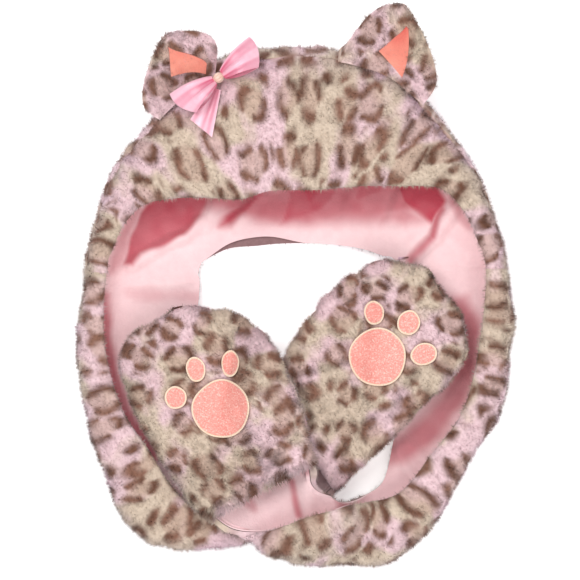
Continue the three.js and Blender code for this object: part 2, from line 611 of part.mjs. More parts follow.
function addBow() {
  const frame = bowFrame();
  const rows = steps(0, 1, 10);
  const columns = [0, 0.3, 0.5, 0.7, 1];
  const half = BOW_SATIN / 2;
  const band = (surface, along, across) =>
    clothWall(surface, along, across, -half, half, () => 1, plainNormal);
  add("bow_loop_left", band(loopSurface(-1), rows, columns).applyMatrix4(frame), ribbon);
  add("bow_loop_right", band(loopSurface(1), rows, columns).applyMatrix4(frame), ribbon);
  const knot = new THREE.SphereGeometry(0.5, 10, 8);
  knot.deleteAttribute("uv");
  knot.deleteAttribute("normal");
  knot.scale(KNOT, RIBBON * 0.42, BOW_PUFF * 0.9).translate(0, 0, BOW_PUFF / 2);
  add("bow_knot", knot.applyMatrix4(frame), ribbon);
  const tail = band(tailSurface(BOW_TAIL_TURN), steps(0, 1, 4), [0, 0.5, 1]);
  add("bow_tail", tail.applyMatrix4(frame), ribbon);
}

addHood();
addScarfEnd("left", leftSurface, leftMitten, LEFT_SEAM, 0);
addScarfEnd("right", rightSurface, rightMitten, RIGHT_SEAM, RING_END);
for (const side of ["left", "right"]) addEar(side);
addBow();
addPads("left", leftMitten, LEFT_SEAM, -1);
addPads("right", rightMitten, RIGHT_SEAM, 1);

// The origin is under the middle of the whole object, on the surface that it lies on.
const box = new THREE.Box3().setFromObject(hoodScarf, true);
const middle = box.getCenter(new THREE.Vector3());
hoodScarf.position.set(-middle.x, -middle.y, -box.min.z);

export default hoodScarf;
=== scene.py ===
# %% [markdown]
# # A plush hood with two scarf ends, seen from above
#
# The real thing is sewn from plush with a short leopard-print pile and lined with pink fleece. It lies on
# its back, so the face opening looks up, and each scarf end runs round one side and ends in a mitten.
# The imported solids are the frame: every piece below follows the same sections, with fine pile, folds,
# satin and embroidery in place of the plain walls.

import bpy
import numpy as np
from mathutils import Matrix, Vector


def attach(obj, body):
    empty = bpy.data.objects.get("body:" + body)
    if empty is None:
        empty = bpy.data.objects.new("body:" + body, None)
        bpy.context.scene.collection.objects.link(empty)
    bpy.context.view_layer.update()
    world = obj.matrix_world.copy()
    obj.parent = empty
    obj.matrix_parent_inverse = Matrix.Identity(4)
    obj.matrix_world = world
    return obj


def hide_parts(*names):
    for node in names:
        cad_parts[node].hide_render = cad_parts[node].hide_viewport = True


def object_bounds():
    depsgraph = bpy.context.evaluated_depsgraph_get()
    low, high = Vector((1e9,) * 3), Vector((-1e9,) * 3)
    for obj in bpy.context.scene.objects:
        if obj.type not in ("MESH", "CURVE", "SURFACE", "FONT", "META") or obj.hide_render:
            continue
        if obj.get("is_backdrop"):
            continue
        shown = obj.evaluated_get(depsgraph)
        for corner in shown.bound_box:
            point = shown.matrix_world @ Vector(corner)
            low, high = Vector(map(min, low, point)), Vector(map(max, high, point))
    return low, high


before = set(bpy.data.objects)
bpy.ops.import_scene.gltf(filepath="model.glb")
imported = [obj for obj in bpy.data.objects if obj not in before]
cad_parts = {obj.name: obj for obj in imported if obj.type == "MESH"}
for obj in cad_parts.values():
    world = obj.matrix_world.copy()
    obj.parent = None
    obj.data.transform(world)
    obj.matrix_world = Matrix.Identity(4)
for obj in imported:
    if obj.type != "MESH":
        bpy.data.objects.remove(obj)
cad_box = [list(corner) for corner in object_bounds()]
print("solids in the frame:", len(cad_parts))

# %% [markdown]
# ## Sizes
#
# Lengths are in millimetres while the shapes are worked out, and become metres when a mesh is made. The
# names say what each length is on the hood. The middle of the sections lies a little off the frame's
# origin, which MIDDLE makes up for.

# %% Sizes
MM = 0.001
MIDDLE = np.array([-0.10480, 17.36940, 0.0])
HOOD_WIDTH, HOOD_LENGTH, HOOD_FRONT, HOOD_BACK, HOOD_HEIGHT = 370, 194, 125, 171, 82
SCARF_DROP, SCARF_WIDTH, ROLL_HEIGHT = 257, 145, 52
MITTEN_HEIGHT, MITTEN_SEAM, CUFF_EASE, TIP_BULGE = 40, 20, 5, 9
FUR, LINING, PLY_GAP, SEAM_GAP, LAY_GAP = 9, 3, 0.5, 0.4, 1.5
EAR_HEIGHT, EAR_PAD, EAR_GAP, EAR_CUP = 62, 10, 1.2, 7
RIBBON, BOW_LOOP, BOW_PUFF, BOW_TAIL, KNOT = 28, 40, 15, 36, 13
PALM_WIDTH, PAD_THICK, PAD_GAP = 48, 1.4, 0.5
print("hood:", HOOD_WIDTH, "mm wide, and", HOOD_LENGTH, "mm from the middle to the crown")

# %% [markdown]
# ## The sections round the ring
#
# The hood and its two scarf ends are one ring of cloth sections, from the tip of the left scarf end over
# the crown to the tip of the right one. Each row says where the outer fold lies, which way the cloth
# runs in from it and how far, and how high it rolls up. A smooth curve through the rows gives every
# section in between, which is how a pattern cutter would grade a shape from a few fitted stations.

# %% Section tables
# x and y place the outline, aim is the way in, in degrees, then how far in the neck edge and the face edge
# lie and how high the edge rolls, as shares of the sizes above.
LEFT_ROWS = [
    [-0.98, 0.0, -7, 0.69, 0.14, 1.0],
    [-1.02, 0.25, 4, 0.72, 0.18, 0.96],
    [-0.97, 0.5, 20, 0.71, 0.23, 0.9],
    [-0.88, 0.7, 34, 0.69, 0.32, 0.86],
    [-0.79, 0.85, 45, 0.73, 0.37, 0.78],
    [-0.62, 0.93, 58, 0.72, 0.32, 0.66],
    [-0.37, 0.94, 76, 0.66, 0.23, 0.58],
    [-0.11, 0.89, 97, 0.62, 0.18, 0.56],
    [0.12, 0.8, 116, 0.66, 0.15, 0.56],
    [0.31, 0.67, 136, 0.72, 0.12, 0.56],
    [0.55, 0.49, 149, 0.86, 0.12, 0.56],
    [0.77, 0.33, 153, 0.92, 0.12, 0.56],
    [0.8, 0.25, 152, 0.83, 0.12, 0.56],
    [0.76, 0.16, 148, 0.61, 0.12, 0.56],
    [0.66, 0.085, 145, 0.3, 0.12, 0.56],
]
RIGHT_ROWS = [
    [1.0, 0.0, 176, 0.66, 0.15, 1.0],
    [1.02, 0.23, 176, 0.66, 0.21, 0.96],
    [0.96, 0.47, 173, 0.6, 0.23, 0.94],
    [0.81, 0.65, 163, 0.47, 0.24, 0.98],
    [0.65, 0.85, 140, 0.4, 0.3, 1.06],
    [0.42, 0.98, 109, 0.42, 0.4, 1.12],
    [0.17, 0.99, 81, 0.4, 0.39, 1.12],
    [-0.06, 0.96, 54, 0.48, 0.36, 1.04],
    [-0.24, 0.9, 39, 0.6, 0.25, 0.88],
    [-0.41, 0.83, 29, 0.75, 0.14, 0.74],
    [-0.62, 0.64, 19, 0.91, 0.12, 0.7],
    [-0.79, 0.41, 11, 0.98, 0.12, 0.7],
    [-0.82, 0.32, 9, 0.93, 0.12, 0.7],
    [-0.78, 0.24, 10, 0.73, 0.12, 0.7],
    [-0.66, 0.2, 13, 0.42, 0.12, 0.7],
]
HOOD_ROWS = [
    [-0.96, 0.14, -18, 0.58, 0.19, 0.66],
    [-0.91, 0.3, -32, 0.6, 0.24, 0.71],
    [-0.835, 0.47, -47, 0.66, 0.37, 0.79],
    [-0.67, 0.67, -59, 0.76, 0.64, 0.89],
    [-0.47, 0.87, -70, 0.92, 0.93, 0.96],
    [-0.21, 0.98, -81, 0.99, 1.0, 1.0],
    [0.16, 0.99, -94, 0.99, 1.0, 1.0],
    [0.45, 0.9, -105, 0.93, 0.86, 0.96],
    [0.66, 0.69, -118, 0.77, 0.57, 0.89],
    [0.8, 0.51, -130, 0.66, 0.31, 0.79],
    [0.9, 0.33, -148, 0.58, 0.21, 0.71],
    [0.96, 0.16, -166, 0.55, 0.18, 0.66],
]
CUFF_ROW = {"left": 8.4, "right": 9}
TIP_ROUND_ROW = 11
LAST_ROW = len(LEFT_ROWS) - 1
LEFT_SEAM = LAST_ROW
RIGHT_SEAM = LEFT_SEAM + len(HOOD_ROWS) + 1
RING_END = RIGHT_SEAM + LAST_ROW
TURN, CREASE = 0.35, 0.27
CUFF_ROWS, TIP_END = 2.2, 0.985
print("rows round the ring:", RING_END + 1)


# %% Small helpers
def mix(a, b, share):
    """a where share is 0 and b where it is 1."""
    return a + (b - a) * share


def smooth(low, high, x):
    """0 below low and 1 above high, with the cubic 3q^2 - 2q^3 between them."""
    q = np.clip((x - low) / (high - low), 0, 1)
    return q * q * (3 - 2 * q)


def bump(x, middle, half):
    """A soft hump: 1 at middle, falling as (1 - q^2)^2 to 0 at half a width away."""
    return np.clip(1 - ((x - middle) / half) ** 2, 0, 1) ** 2


def unit(vectors):
    """Each vector divided by its length."""
    return vectors / np.maximum(np.linalg.norm(vectors, axis=-1, keepdims=True), 1e-9)


# %% The ring of sections
def table_to_lengths(rows, drop, reach_size, rim_size, roll_size):
    """Rows as lengths: outline x and y, neck edge x and y, the way to the face edge, the roll's height."""
    x, y, aim, reach, rim, roll = np.array(rows, float).T
    x, y, aim = x * HOOD_WIDTH / 2, y * drop, np.radians(aim)
    inner = reach * reach_size
    edge = [x + inner * np.cos(aim), y + inner * np.sin(aim)]
    return np.stack([x, y, *edge, rim * rim_size, roll * roll_size], axis=1)


SCARF_SIZES = (-SCARF_DROP, SCARF_WIDTH, SCARF_WIDTH, ROLL_HEIGHT)
RING = np.concatenate(
    [
        table_to_lengths(LEFT_ROWS, *SCARF_SIZES)[::-1],
        table_to_lengths(HOOD_ROWS, HOOD_LENGTH, HOOD_BACK, HOOD_FRONT, HOOD_HEIGHT),
        table_to_lengths(RIGHT_ROWS, *SCARF_SIZES),
    ]
)


def ring_at(s):
    """The section at s: a Catmull-Rom cubic through the four rows around it, all lengths at once."""
    i = np.clip(np.floor(s).astype(int), 0, RING_END - 1)
    q = (s - i)[..., None]
    a, b, c, d = (RING[np.clip(i + k, 0, RING_END)] for k in (-1, 0, 1, 2))
    return b + 0.5 * q * (c - a + q * (2 * a - 5 * b + 4 * c - d + q * (3 * (b - c) + d - a)))


crown = RING[LEFT_SEAM + 1 : RIGHT_SEAM, 1].max()
print(f"the crown lies {crown:.0f} mm from the middle of the sections")


# %% Where a section lies
def section_at(s):
    """The section at s, and the distance from its outline to its neck edge."""
    section = ring_at(s)
    return section, np.linalg.norm(section[..., 2:4] - section[..., 0:2], axis=-1)


def rows_from_seam(s):
    """How many rows a section lies past the seam of its scarf end, and 0 in the hood."""
    return np.maximum(np.maximum(LEFT_SEAM - s, s - RIGHT_SEAM), 0)


def mitten_share(s):
    """0 along the scarf and 1 from the cuff on, with a smooth cubic over the rows before the cuff."""
    cuff = np.where(s < LEFT_SEAM, CUFF_ROW["left"], CUFF_ROW["right"])
    return smooth(cuff - CUFF_ROWS, cuff, rows_from_seam(s))


def past_palm(s):
    """0 up to the row where the mitten's tip starts to round, and 1 at the last row."""
    return np.clip((rows_from_seam(s) - TIP_ROUND_ROW) / (LAST_ROW - TIP_ROUND_ROW), 0, 1)


def tip_round(s):
    """The quarter circle sqrt(1 - q^2) by which a mitten gets lower to its tip, stopped short of 0."""
    q = np.minimum(past_palm(s), TIP_END)
    return np.sqrt(1 - q * q)


# %% Rolled and flat sections
def rolled_point(reach, rim, roll, v):
    """Distance in from the outline and height. From v 0 to TURN a cubic Bezier climbs from the face edge
    over the roll to the widest place; after it a quarter turn leads down and a flat floor runs inwards."""
    middle = roll / 2
    radius = np.minimum(middle - FUR, (reach - FUR) / 2)
    q = 1 - np.minimum(v, TURN) / TURN
    top = roll - FUR
    weights = [(1 - q) ** 3, 3 * q * (1 - q) ** 2, 3 * q * q * (1 - q), q**3]
    inward = [FUR, FUR, mix(FUR, rim, 0.5), rim]
    heights = [middle, mix(middle, top, 0.95), top + 0.04 * roll, top - 0.05 * roll]
    over = [sum(w * value for w, value in zip(weights, values)) for values in (inward, heights)]
    arc = np.pi / 2 * radius
    along = (np.maximum(v, TURN) - TURN) / (1 - TURN) * (arc + reach - FUR - radius)
    turn = np.minimum(along / radius, np.pi / 2)
    floor = FUR + radius * (1 - np.cos(turn)) + np.maximum(along - arc, 0)
    low = middle - (middle - FUR) * np.sin(turn)
    return np.where(v <= TURN, over[0], floor), np.where(v <= TURN, over[1], low)


def mitten_inward(reach, v):
    """Half a wave of cosine from one side seam to the other, so columns crowd where the cloth turns."""
    return reach / 2 - (reach / 2 - FUR) * np.cos(np.pi * v)


def placed(s, inward, height, lift):
    """A point as far in from the outline as inward says, along the section's own direction, at a height
    over what it lies on. Near a mitten's tip the middle bulges out by a half sine."""
    section, reach = section_at(s)
    aim = (section[..., 2:4] - section[..., 0:2]) / reach[..., None]
    turn = np.where(s < LEFT_SEAM, 1, -1)
    share = np.clip((inward - FUR) / (reach - 2 * FUR), 0, 1)
    bulge = turn * TIP_BULGE * past_palm(s) ** 2 * np.sin(np.pi * share)
    x = section[..., 0] + aim[..., 0] * inward + aim[..., 1] * bulge
    y = section[..., 1] + aim[..., 1] * inward - aim[..., 0] * bulge
    return np.stack([x, y, height + lift(x, y, s)], axis=-1)


# %% Surfaces
def wall_surface(lift):
    """The surface between plush and fleece: the rolled section, which opens to a flat sole at the cuff."""

    def surface(s, v):
        """The point at s along the ring and v across it, in millimetres."""
        s, v = np.broadcast_arrays(np.asarray(s, float), np.asarray(v, float))
        section, reach = section_at(s)
        share = mitten_share(s)
        inward, height = rolled_point(reach, section[..., 4], section[..., 5], v)
        belly = np.sin(np.pi * np.clip(v, 0, 1)) ** 0.45 * tip_round(s)
        sole = MITTEN_SEAM - (MITTEN_SEAM - FUR) * belly
        outward = 4 * share * (1 - share) * CUFF_EASE
        inward = mix(inward, mitten_inward(reach, v), share) - outward
        return placed(s, inward, mix(height, sole, share), lift)

    return surface


def mitten_surface(lift):
    """The inside of a mitten's back, which springs from the sole's side seam as a flattened half sine."""

    def surface(s, v):
        """The point at s along the ring and v across it, in millimetres."""
        s, v = np.broadcast_arrays(np.asarray(s, float), np.asarray(v, float))
        _, reach = section_at(s)
        crown = np.sin(np.pi * np.clip(v, 0, 1)) ** 0.6 * tip_round(s)
        height = MITTEN_SEAM + SEAM_GAP + (MITTEN_HEIGHT - FUR - MITTEN_SEAM) * crown
        return placed(s, mitten_inward(reach, v), height, lift)

    return surface


STEP = 0.004


def normals(surface, s, v):
    """The outward direction: the cross product of short steps along and across the surface."""
    s, v = np.broadcast_arrays(np.asarray(s, float), np.asarray(v, float))
    along = surface(np.minimum(s + STEP, RING_END), v) - surface(np.maximum(s - STEP, 0), v)
    across = surface(s, np.minimum(v + STEP, 1)) - surface(s, np.maximum(v - STEP, 0))
    return unit(np.cross(along, across))


# %% [markdown]
# ## What lies on what
#
# The left scarf end slides over the floor of the right one, and the right mitten lies on top of both. A
# grid of the tops underneath, spread and averaged, says how high each place is carried. That keeps cloth
# from cutting through cloth without a simulation, and it gives the same result each time.

# %% Support fields
CELL, SPREAD_CELLS, BLUR_CELLS, GRID = 5, 5, 3, 160


def tops_by_cell(points, cell, size, empty):
    """The highest point in each cell of a square grid, and empty where a cell has none."""
    i, j = (np.rint(points[..., k].ravel() / cell).astype(int) + size // 2 for k in (0, 1))
    tops = np.full((size, size), float(empty))
    np.maximum.at(tops, (i, j), points[..., 2].ravel())
    return tops


def of_neighbours(choose, cells, radius):
    """What choose makes of each cell and those within a radius of it: their highest or their mean."""
    side = range(-radius, radius + 1)
    near = [(i, j) for i in side for j in side if np.hypot(i, j) < radius + 0.5]
    return choose([np.roll(cells, shift, (0, 1)) for shift in near], axis=0)


def height_map(cells, cell):
    """Height by place: the four cells round it, mixed by how near each one is."""
    middle = len(cells) // 2

    def height(x, y):
        """Bilinear: mixed along x in two rows of cells, and then between the rows."""
        a, b = x / cell + middle, y / cell + middle
        m, n = np.floor(a).astype(int), np.floor(b).astype(int)
        p, q = a - m, b - n
        low = mix(cells[m, n], cells[m + 1, n], p)
        return mix(low, mix(cells[m, n + 1], cells[m + 1, n + 1], p), q)

    return height


def support_field(points):
    """Height by place: the highest point of each cell, spread to its neighbours and then averaged."""
    spread = of_neighbours(np.max, tops_by_cell(points, CELL, GRID, 0), SPREAD_CELLS)
    return height_map(of_neighbours(np.mean, spread, BLUR_CELLS), CELL)


def grid(s_from, s_to, per_row, v_from, v_to, columns):
    """Evenly spaced s as a column and v as a row, ready to be broadcast together."""
    s = np.linspace(s_from, s_to, int(np.ceil(abs(s_to - s_from) * per_row)) + 1)
    return s[:, None], np.linspace(v_from, v_to, columns + 1)[None, :]


def floor_points(surface, s_from, s_to):
    """The flat floor of a scarf end, at the height of the fleece's top."""
    points = surface(*grid(s_from, s_to, 12, 0.6, 1, 12)).reshape(-1, 3)
    points[:, 2] = FUR + PLY_GAP + LINING + LAY_GAP
    return points


def top_points(surface, s_from, s_to, offset):
    """A whole surface, moved out by offset and lifted by the gap that cloth keeps from cloth."""
    at = grid(s_from, s_to, 14, 0, 1, 40)
    points = surface(*at) + offset * normals(surface, *at)
    return points.reshape(-1, 3) + [0, 0, LAY_GAP]


def no_lift(x, y, s):
    """The hood itself lies on the table."""
    return np.zeros_like(x)


right_floor = support_field(floor_points(wall_surface(no_lift), RIGHT_SEAM - 4, RIGHT_SEAM + 3.6))


def left_lift(x, y, s):
    """The left end climbs onto the right one's floor, smoothly from row 6 to 7.5 past its seam."""
    return right_floor(x, y) * smooth(6, 7.5, LEFT_SEAM - s)


left_surface, left_mitten = wall_surface(left_lift), mitten_surface(left_lift)
LEFT_CUFF = LEFT_SEAM - CUFF_ROW["left"]
RIGHT_CUFF = RIGHT_SEAM + CUFF_ROW["right"]
left_top = support_field(
    np.concatenate(
        [
            floor_points(left_surface, LEFT_SEAM - 5.6, LEFT_SEAM),
            top_points(left_surface, LEFT_CUFF, LEFT_SEAM - 5.6, FUR),
            top_points(left_surface, LEFT_CUFF, LEFT_SEAM - 5.6, -PLY_GAP - LINING),
            top_points(left_mitten, 0, LEFT_CUFF, -FUR),
        ]
    )
)


def right_lift(x, y, s):
    """The right end climbs onto all that lies under it, smoothly from row 4.5 to 6.5 past its seam."""
    return left_top(x, y) * smooth(4.5, 6.5, s - RIGHT_SEAM)


right_surface, right_mitten = wall_surface(right_lift), mitten_surface(right_lift)
hood_surface = wall_surface(no_lift)
print(f"the right mitten lies on {left_top(*right_surface(RING_END - 3, 0.5)[:2]):.1f} mm of cloth")

# %% [markdown]
# ## The leopard print
#
# The pile is dyed, not woven, so the print's edges are soft. It is the traditional leopard pattern:
# pale pink and cream ground, with rings of two or three brown blotches round a tan middle. A shader could
# draw cells, but not colour the strands by the place that they grow from. So it is worked out in
# millimetres of flat cloth and kept as a colour at each point, and the cloth and every strand agree.

# %% Noise
def hashed(i, j, k, seed):
    """A number from 0 to 1 for each whole-numbered place, by mixing the bits of its coordinates."""
    n = (i * 73856093) ^ (j * 19349663) ^ (k * 83492791) ^ (seed * 2654435761)
    n = (n ^ (n >> 13)) * 1274126177 & 0xFFFFFFFF
    n = (n ^ (n >> 16)) * 668265263 & 0xFFFFFFFF
    return ((n ^ (n >> 15)) & 0xFFFFFF) / float(0xFFFFFF)


def noise(points, size, seed):
    """Value noise from -1 to 1: hashed numbers on a cubic lattice of that size, joined by smooth cubics."""
    p = points / size
    base = np.floor(p).astype(np.int64)
    f = p - base
    f = f * f * (3 - 2 * f)
    total = 0.0
    for a in (0, 1):
        for b in (0, 1):
            for c in (0, 1):
                weight = (f[..., 0] if a else 1 - f[..., 0]) * (f[..., 1] if b else 1 - f[..., 1])
                weight = weight * (f[..., 2] if c else 1 - f[..., 2])
                total = total + weight * hashed(base[..., 0] + a, base[..., 1] + b, base[..., 2] + c, seed)
    return 2 * total - 1


def flat_noise(xy, size, seed):
    """The same noise at places that have x and y alone."""
    return noise(np.concatenate([xy, np.zeros_like(xy[..., :1])], axis=-1), size, seed)


# %% Print colours and pattern
def linear(hex_colour):
    """A screen colour as the linear red, green and blue that a renderer works in."""
    c = np.array([int(hex_colour[k : k + 2], 16) for k in (0, 2, 4)]) / 255
    return np.where(c <= 0.04045, c / 12.92, ((c + 0.055) / 1.055) ** 2.4)


PINK_GROUND, CREAM_GROUND = linear("EACBD0"), linear("D8C5B2")
TAN_MIDDLE, BROWN, DARK_BROWN = linear("C3A393"), linear("8C6453"), linear("704B3B")
ROSETTE_CELL, LONE_SHARE, JITTER = 29.0, 0.62, (0.24, 0.52)
# How far a middle strays in its cell, above, is a least share and a spread. So are a ring's radius and
# breadth in millimetres. Then come the radii where a lone spot ends and where it is full.
RING_RADIUS, RING_BREADTH, LONE_EDGE = (7.2, 2.8), (3.3, 1.2), (7.2, 2.2)


def leopard(xy, seed):
    """Colour at flat places. Each cell of a jittered lattice holds one rosette: two or three brown arcs, as
    broad as they are dark, on a stretched circle round a tan middle. Lone spots lie at a second, finer
    lattice's places wherever no rosette is near. The ground drifts from pink to cream."""
    warp = np.stack([flat_noise(xy, 10, seed + 1), flat_noise(xy, 10, seed + 2)], axis=-1)
    fine = np.stack([flat_noise(xy, 3.4, seed + 3), flat_noise(xy, 3.4, seed + 4)], axis=-1)
    place = xy + 2.0 * warp + 0.9 * fine
    brown, tan, near = rosettes(place, ROSETTE_CELL, seed)
    spot, _, _ = rosettes(place + 37.0, ROSETTE_CELL * LONE_SHARE, seed + 40, lone=True)
    brown = np.maximum(brown, spot * (1 - near))
    ground = smooth(-0.3, 0.3, flat_noise(xy, 20, seed + 11) + 0.3 * flat_noise(xy, 8, seed + 12))
    colour = mix(PINK_GROUND, CREAM_GROUND, ground[..., None])
    colour = mix(colour, TAN_MIDDLE, 0.6 * tan[..., None])
    shade = mix(BROWN, DARK_BROWN, smooth(-0.4, 0.5, flat_noise(xy, 14, seed + 13))[..., None])
    return mix(colour, shade, brown[..., None])


def rosettes(place, cell, seed, lone=False):
    """How brown, how tan and how near to a rosette each place is, from 0 to 1. The nine cells around it are
    tried, and each one's size, stretch, turn and number of arcs come from its own hashed numbers."""
    p = place / cell
    base = np.floor(p).astype(np.int64)
    brown, tan, near = (np.zeros(place.shape[:-1]) for _ in range(3))
    for a in (-1, 0, 1):
        for b in (-1, 0, 1):
            i, j = base[..., 0] + a, base[..., 1] + b
            pick = [hashed(i, j, 7, seed + k) for k in range(7)]
            middle = [i + JITTER[0] + JITTER[1] * pick[0], j + JITTER[0] + JITTER[1] * pick[1]]
            d = (p - np.stack(middle, axis=-1)) * cell
            turn = np.pi * pick[2]
            along = d[..., 0] * np.cos(turn) + d[..., 1] * np.sin(turn)
            side = -d[..., 0] * np.sin(turn) + d[..., 1] * np.cos(turn)
            stretch = 1 + 0.35 * pick[3]
            r = np.hypot(along / stretch, side * stretch**0.4)
            if lone:
                brown = np.maximum(brown, smooth(*LONE_EDGE, r) * (pick[4] > 0.4))
                continue
            size = RING_RADIUS[0] + RING_RADIUS[1] * pick[4]
            thick = RING_BREADTH[0] + RING_BREADTH[1] * pick[5]
            arcs = np.cos((2 + (pick[6] > 0.45)) * np.arctan2(side, along) + 6.3 * pick[5])
            thick = thick * mix(0.35, 1, smooth(-0.9, 0.1, arcs))
            ring = smooth(1.5 * thick, 0.1 * thick, np.abs(r - size))
            brown = np.maximum(brown, ring * smooth(-1.1, -0.3, arcs))
            tan = np.maximum(tan, smooth(size + 1.5, size - 2, r))
            near = np.maximum(near, smooth(size + 7, size + 4, r))
    return brown, tan, near


print("a ring of the print is about", 2 * RING_RADIUS[0], "to", 2 * sum(RING_RADIUS), "mm across")

# %% Flat places of the cloth
# Painted shade: the pile darkens towards lavender past the outer turn, as it rounds away from the light.
UNDER_PAINTED_SHADE, UNDER_SHADE_SHARE = np.array([0.82, 0.78, 0.9]), 0.8
# Lengths past the outer turn between which the underside's print, and its painted shade, come in.
UNDER_SPAN, UNDER_SHADE_SPAN = (8, 26), (-20, 8)
PRINT_STRETCH = 0.62


def run_across(points):
    """The length of cloth from the first column to each one, summed from point to point."""
    step = np.linalg.norm(np.diff(points, axis=1), axis=2)
    return np.concatenate([np.zeros((len(points), 1)), np.cumsum(step, axis=1)], axis=1)


def flat_places(s, points, v_zero):
    """Each point laid flat: the outline point plus the way in times the length of cloth from column v_zero,
    drawn in a little because the plush is stretched across the roll. The second result is that length,
    which is negative on the underside."""
    section = ring_at(s[:, 0])
    outline, edge = section[:, 0:2], section[:, 2:4]
    aim = unit(edge - outline)
    run = run_across(points)
    length = run[:, v_zero][:, None] - run
    return outline[:, None, :] + aim[:, None, :] * (PRINT_STRETCH * length[..., None] + FUR), length


def two_sided_print(s, points, v_zero, seed):
    """The print of the top, and past the outer turn that of the underside, joined softly. A painted shade
    darkens the pile towards lavender as it rounds the turn away from the light."""
    flat, length = flat_places(s, points, v_zero)
    under = points[..., 0:2] + [700.0, 300.0]
    share = smooth(*UNDER_SPAN, -length)[..., None]
    turn_shade = mix(1, UNDER_PAINTED_SHADE, UNDER_SHADE_SHARE * smooth(*UNDER_SHADE_SPAN, -length)[..., None])
    return mix(leopard(flat, seed), leopard(under, seed), share) * turn_shade


# %% [markdown]
# ## From numbers to meshes
#
# A piece of cloth is two skins of points, outer and inner, closed along its four edges. Writing whole
# arrays into the mesh keeps this quick even with a hundred thousand faces.

# %% Mesh makers
RIM_ANGLE = np.radians(52)


def make_mesh(name, points, faces, corners, colours=None, shading=None, body="root"):
    """One object from an array of points in millimetres and an array of faces with that many corners.
    Shading is the direction each point is lit from, where that isn't its face's own."""
    mesh = bpy.data.meshes.new(name)
    mesh.vertices.add(len(points))
    mesh.vertices.foreach_set("co", ((points + MIDDLE) * MM).astype(np.float32).ravel())
    mesh.loops.add(faces.size)
    mesh.loops.foreach_set("vertex_index", faces.astype(np.int32).ravel())
    mesh.polygons.add(len(faces))
    mesh.polygons.foreach_set("loop_start", np.arange(0, faces.size, corners, dtype=np.int32))
    mesh.update(calc_edges=True)
    mesh.polygons.foreach_set("use_smooth", np.ones(len(faces), bool))
    if colours is not None:
        layer = mesh.color_attributes.new("Print", "FLOAT_COLOR", "POINT")
        rgba = np.concatenate([colours, np.ones((len(colours), 1))], axis=1)
        layer.data.foreach_set("color", rgba.astype(np.float32).ravel())
    mesh.validate()
    if corners == 4:
        mesh.set_sharp_from_angle(angle=RIM_ANGLE)
    if shading is not None:
        mesh.normals_split_custom_set_from_vertices(shading)
    thing = bpy.data.objects.new(name, mesh)
    bpy.context.scene.collection.objects.link(thing)
    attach(thing, body)
    return thing


def shell_faces(rows, columns, turned=False):
    """Quads of two skins of rows by columns points, and of the four strips that close them. Turned, they
    face the other way."""
    number = np.arange(rows * columns).reshape(rows, columns)
    below = number + rows * columns

    def quads(a, b, c, d):
        """Four arrays of point numbers as one list of quads."""
        return np.stack([a, b, c, d], axis=-1).reshape(-1, 4)

    parts = [
        quads(number[:-1, :-1], number[1:, :-1], number[1:, 1:], number[:-1, 1:]),
        quads(below[:-1, :-1], below[:-1, 1:], below[1:, 1:], below[1:, :-1]),
        quads(number[:-1, 0], below[:-1, 0], below[1:, 0], number[1:, 0]),
        quads(number[:-1, -1], number[1:, -1], below[1:, -1], below[:-1, -1]),
        quads(number[0, 1:], below[0, 1:], below[0, :-1], number[0, :-1]),
        quads(below[-1, :-1], below[-1, 1:], number[-1, 1:], number[-1, :-1]),
    ]
    faces = np.concatenate(parts)
    return faces[:, ::-1] if turned else faces


def band_quads(number):
    """Quads between each row of point numbers and the next, closed round the columns."""
    beside = np.roll(number, -1, axis=1)
    return np.stack([number[:-1], number[1:], beside[1:], beside[:-1]], axis=-1).reshape(-1, 4)


def cloth(name, outer, inner, colours=None, inner_colour=None, turned=False):
    """A closed wall of cloth between two grids of points."""
    rows, columns = outer.shape[:2]
    points = np.concatenate([outer.reshape(-1, 3), inner.reshape(-1, 3)])
    if colours is not None:
        flat = colours.reshape(-1, 3)
        back = flat if inner_colour is None else np.broadcast_to(inner_colour, flat.shape)
        colours = np.concatenate([flat, back])
    return make_mesh(name, points, shell_faces(rows, columns, turned), 4, colours)


# %% [markdown]
# ## Pile
#
# Faux fur is a knitted backing with thousands of short strands. The backing and the deep tufts are one
# skin whose height comes from noise of three sizes. On top of it grow separate strands, each one narrow
# triangle, because they give the soft outline and the broken light that a bump map can't. Blender's own
# hair would look finer, but it is no mesh. A strand is lit much like the cloth that it stands on, so that
# the pile stays as soft as fur instead of glittering.

# %% Tufts
def tufts(points, seed):
    """Height of the pile, from soft hollows as wide as a thumb down to single locks."""
    return (
        1.8 * noise(points, 24, seed)
        + 2.1 * noise(points, 10, seed + 1)
        + 0.6 * noise(points, 4, seed + 2)
    )


def grid_normals(points):
    """The direction away from the cloth at each grid point, from its neighbours along and across."""
    return unit(np.cross(np.gradient(points, axis=0), np.gradient(points, axis=1)))


def vector_noise(points, size, seed):
    """Three noises side by side, as one vector at each point."""
    return np.stack([noise(points, size, seed + k) for k in (0, 1, 2)], axis=-1)


def along_cloth(vectors, away):
    """What is left of each vector without its part along away."""
    return vectors - away * np.sum(vectors * away, axis=1, keepdims=True)


# %% Strands
STRAND_WIDTH, STRAND_LENGTH, STRAND_ROOT = 0.6, 4.7, 1.6
LEAN_SIZE, LEAN_SLOW, LEAN_RANDOM, LEAN_SHARE = 9, 1.1, 0.33, 0.75
LOCK, LOCK_GATHER, LOCK_WANDER, WANDER_SIZE = 5.5, 0.36, 1.6, 2.2
LOCK_TURN = np.array([[0.8, -0.6, 0], [0.48, 0.64, -0.6], [0.36, 0.48, 0.8]])
# Painted shade along a strand: darker at the two corners of its foot, deep in the pile, lighter at its tip.
STRAND_PAINTED_SHADE = np.array([0.88, 0.88, 1.03])[None, :, None]


def to_lock(root, seed):
    """The way from each root to the middle of its lock. Locks are the cells of a turned lattice, whose
    places wander by a slow noise so that no rows show."""
    wander = vector_noise(root, WANDER_SIZE * LOCK, seed) * LOCK_WANDER * LOCK
    place = (root + wander) @ LOCK_TURN
    return ((np.floor(place / LOCK) + 0.5) * LOCK - place) @ LOCK_TURN.T


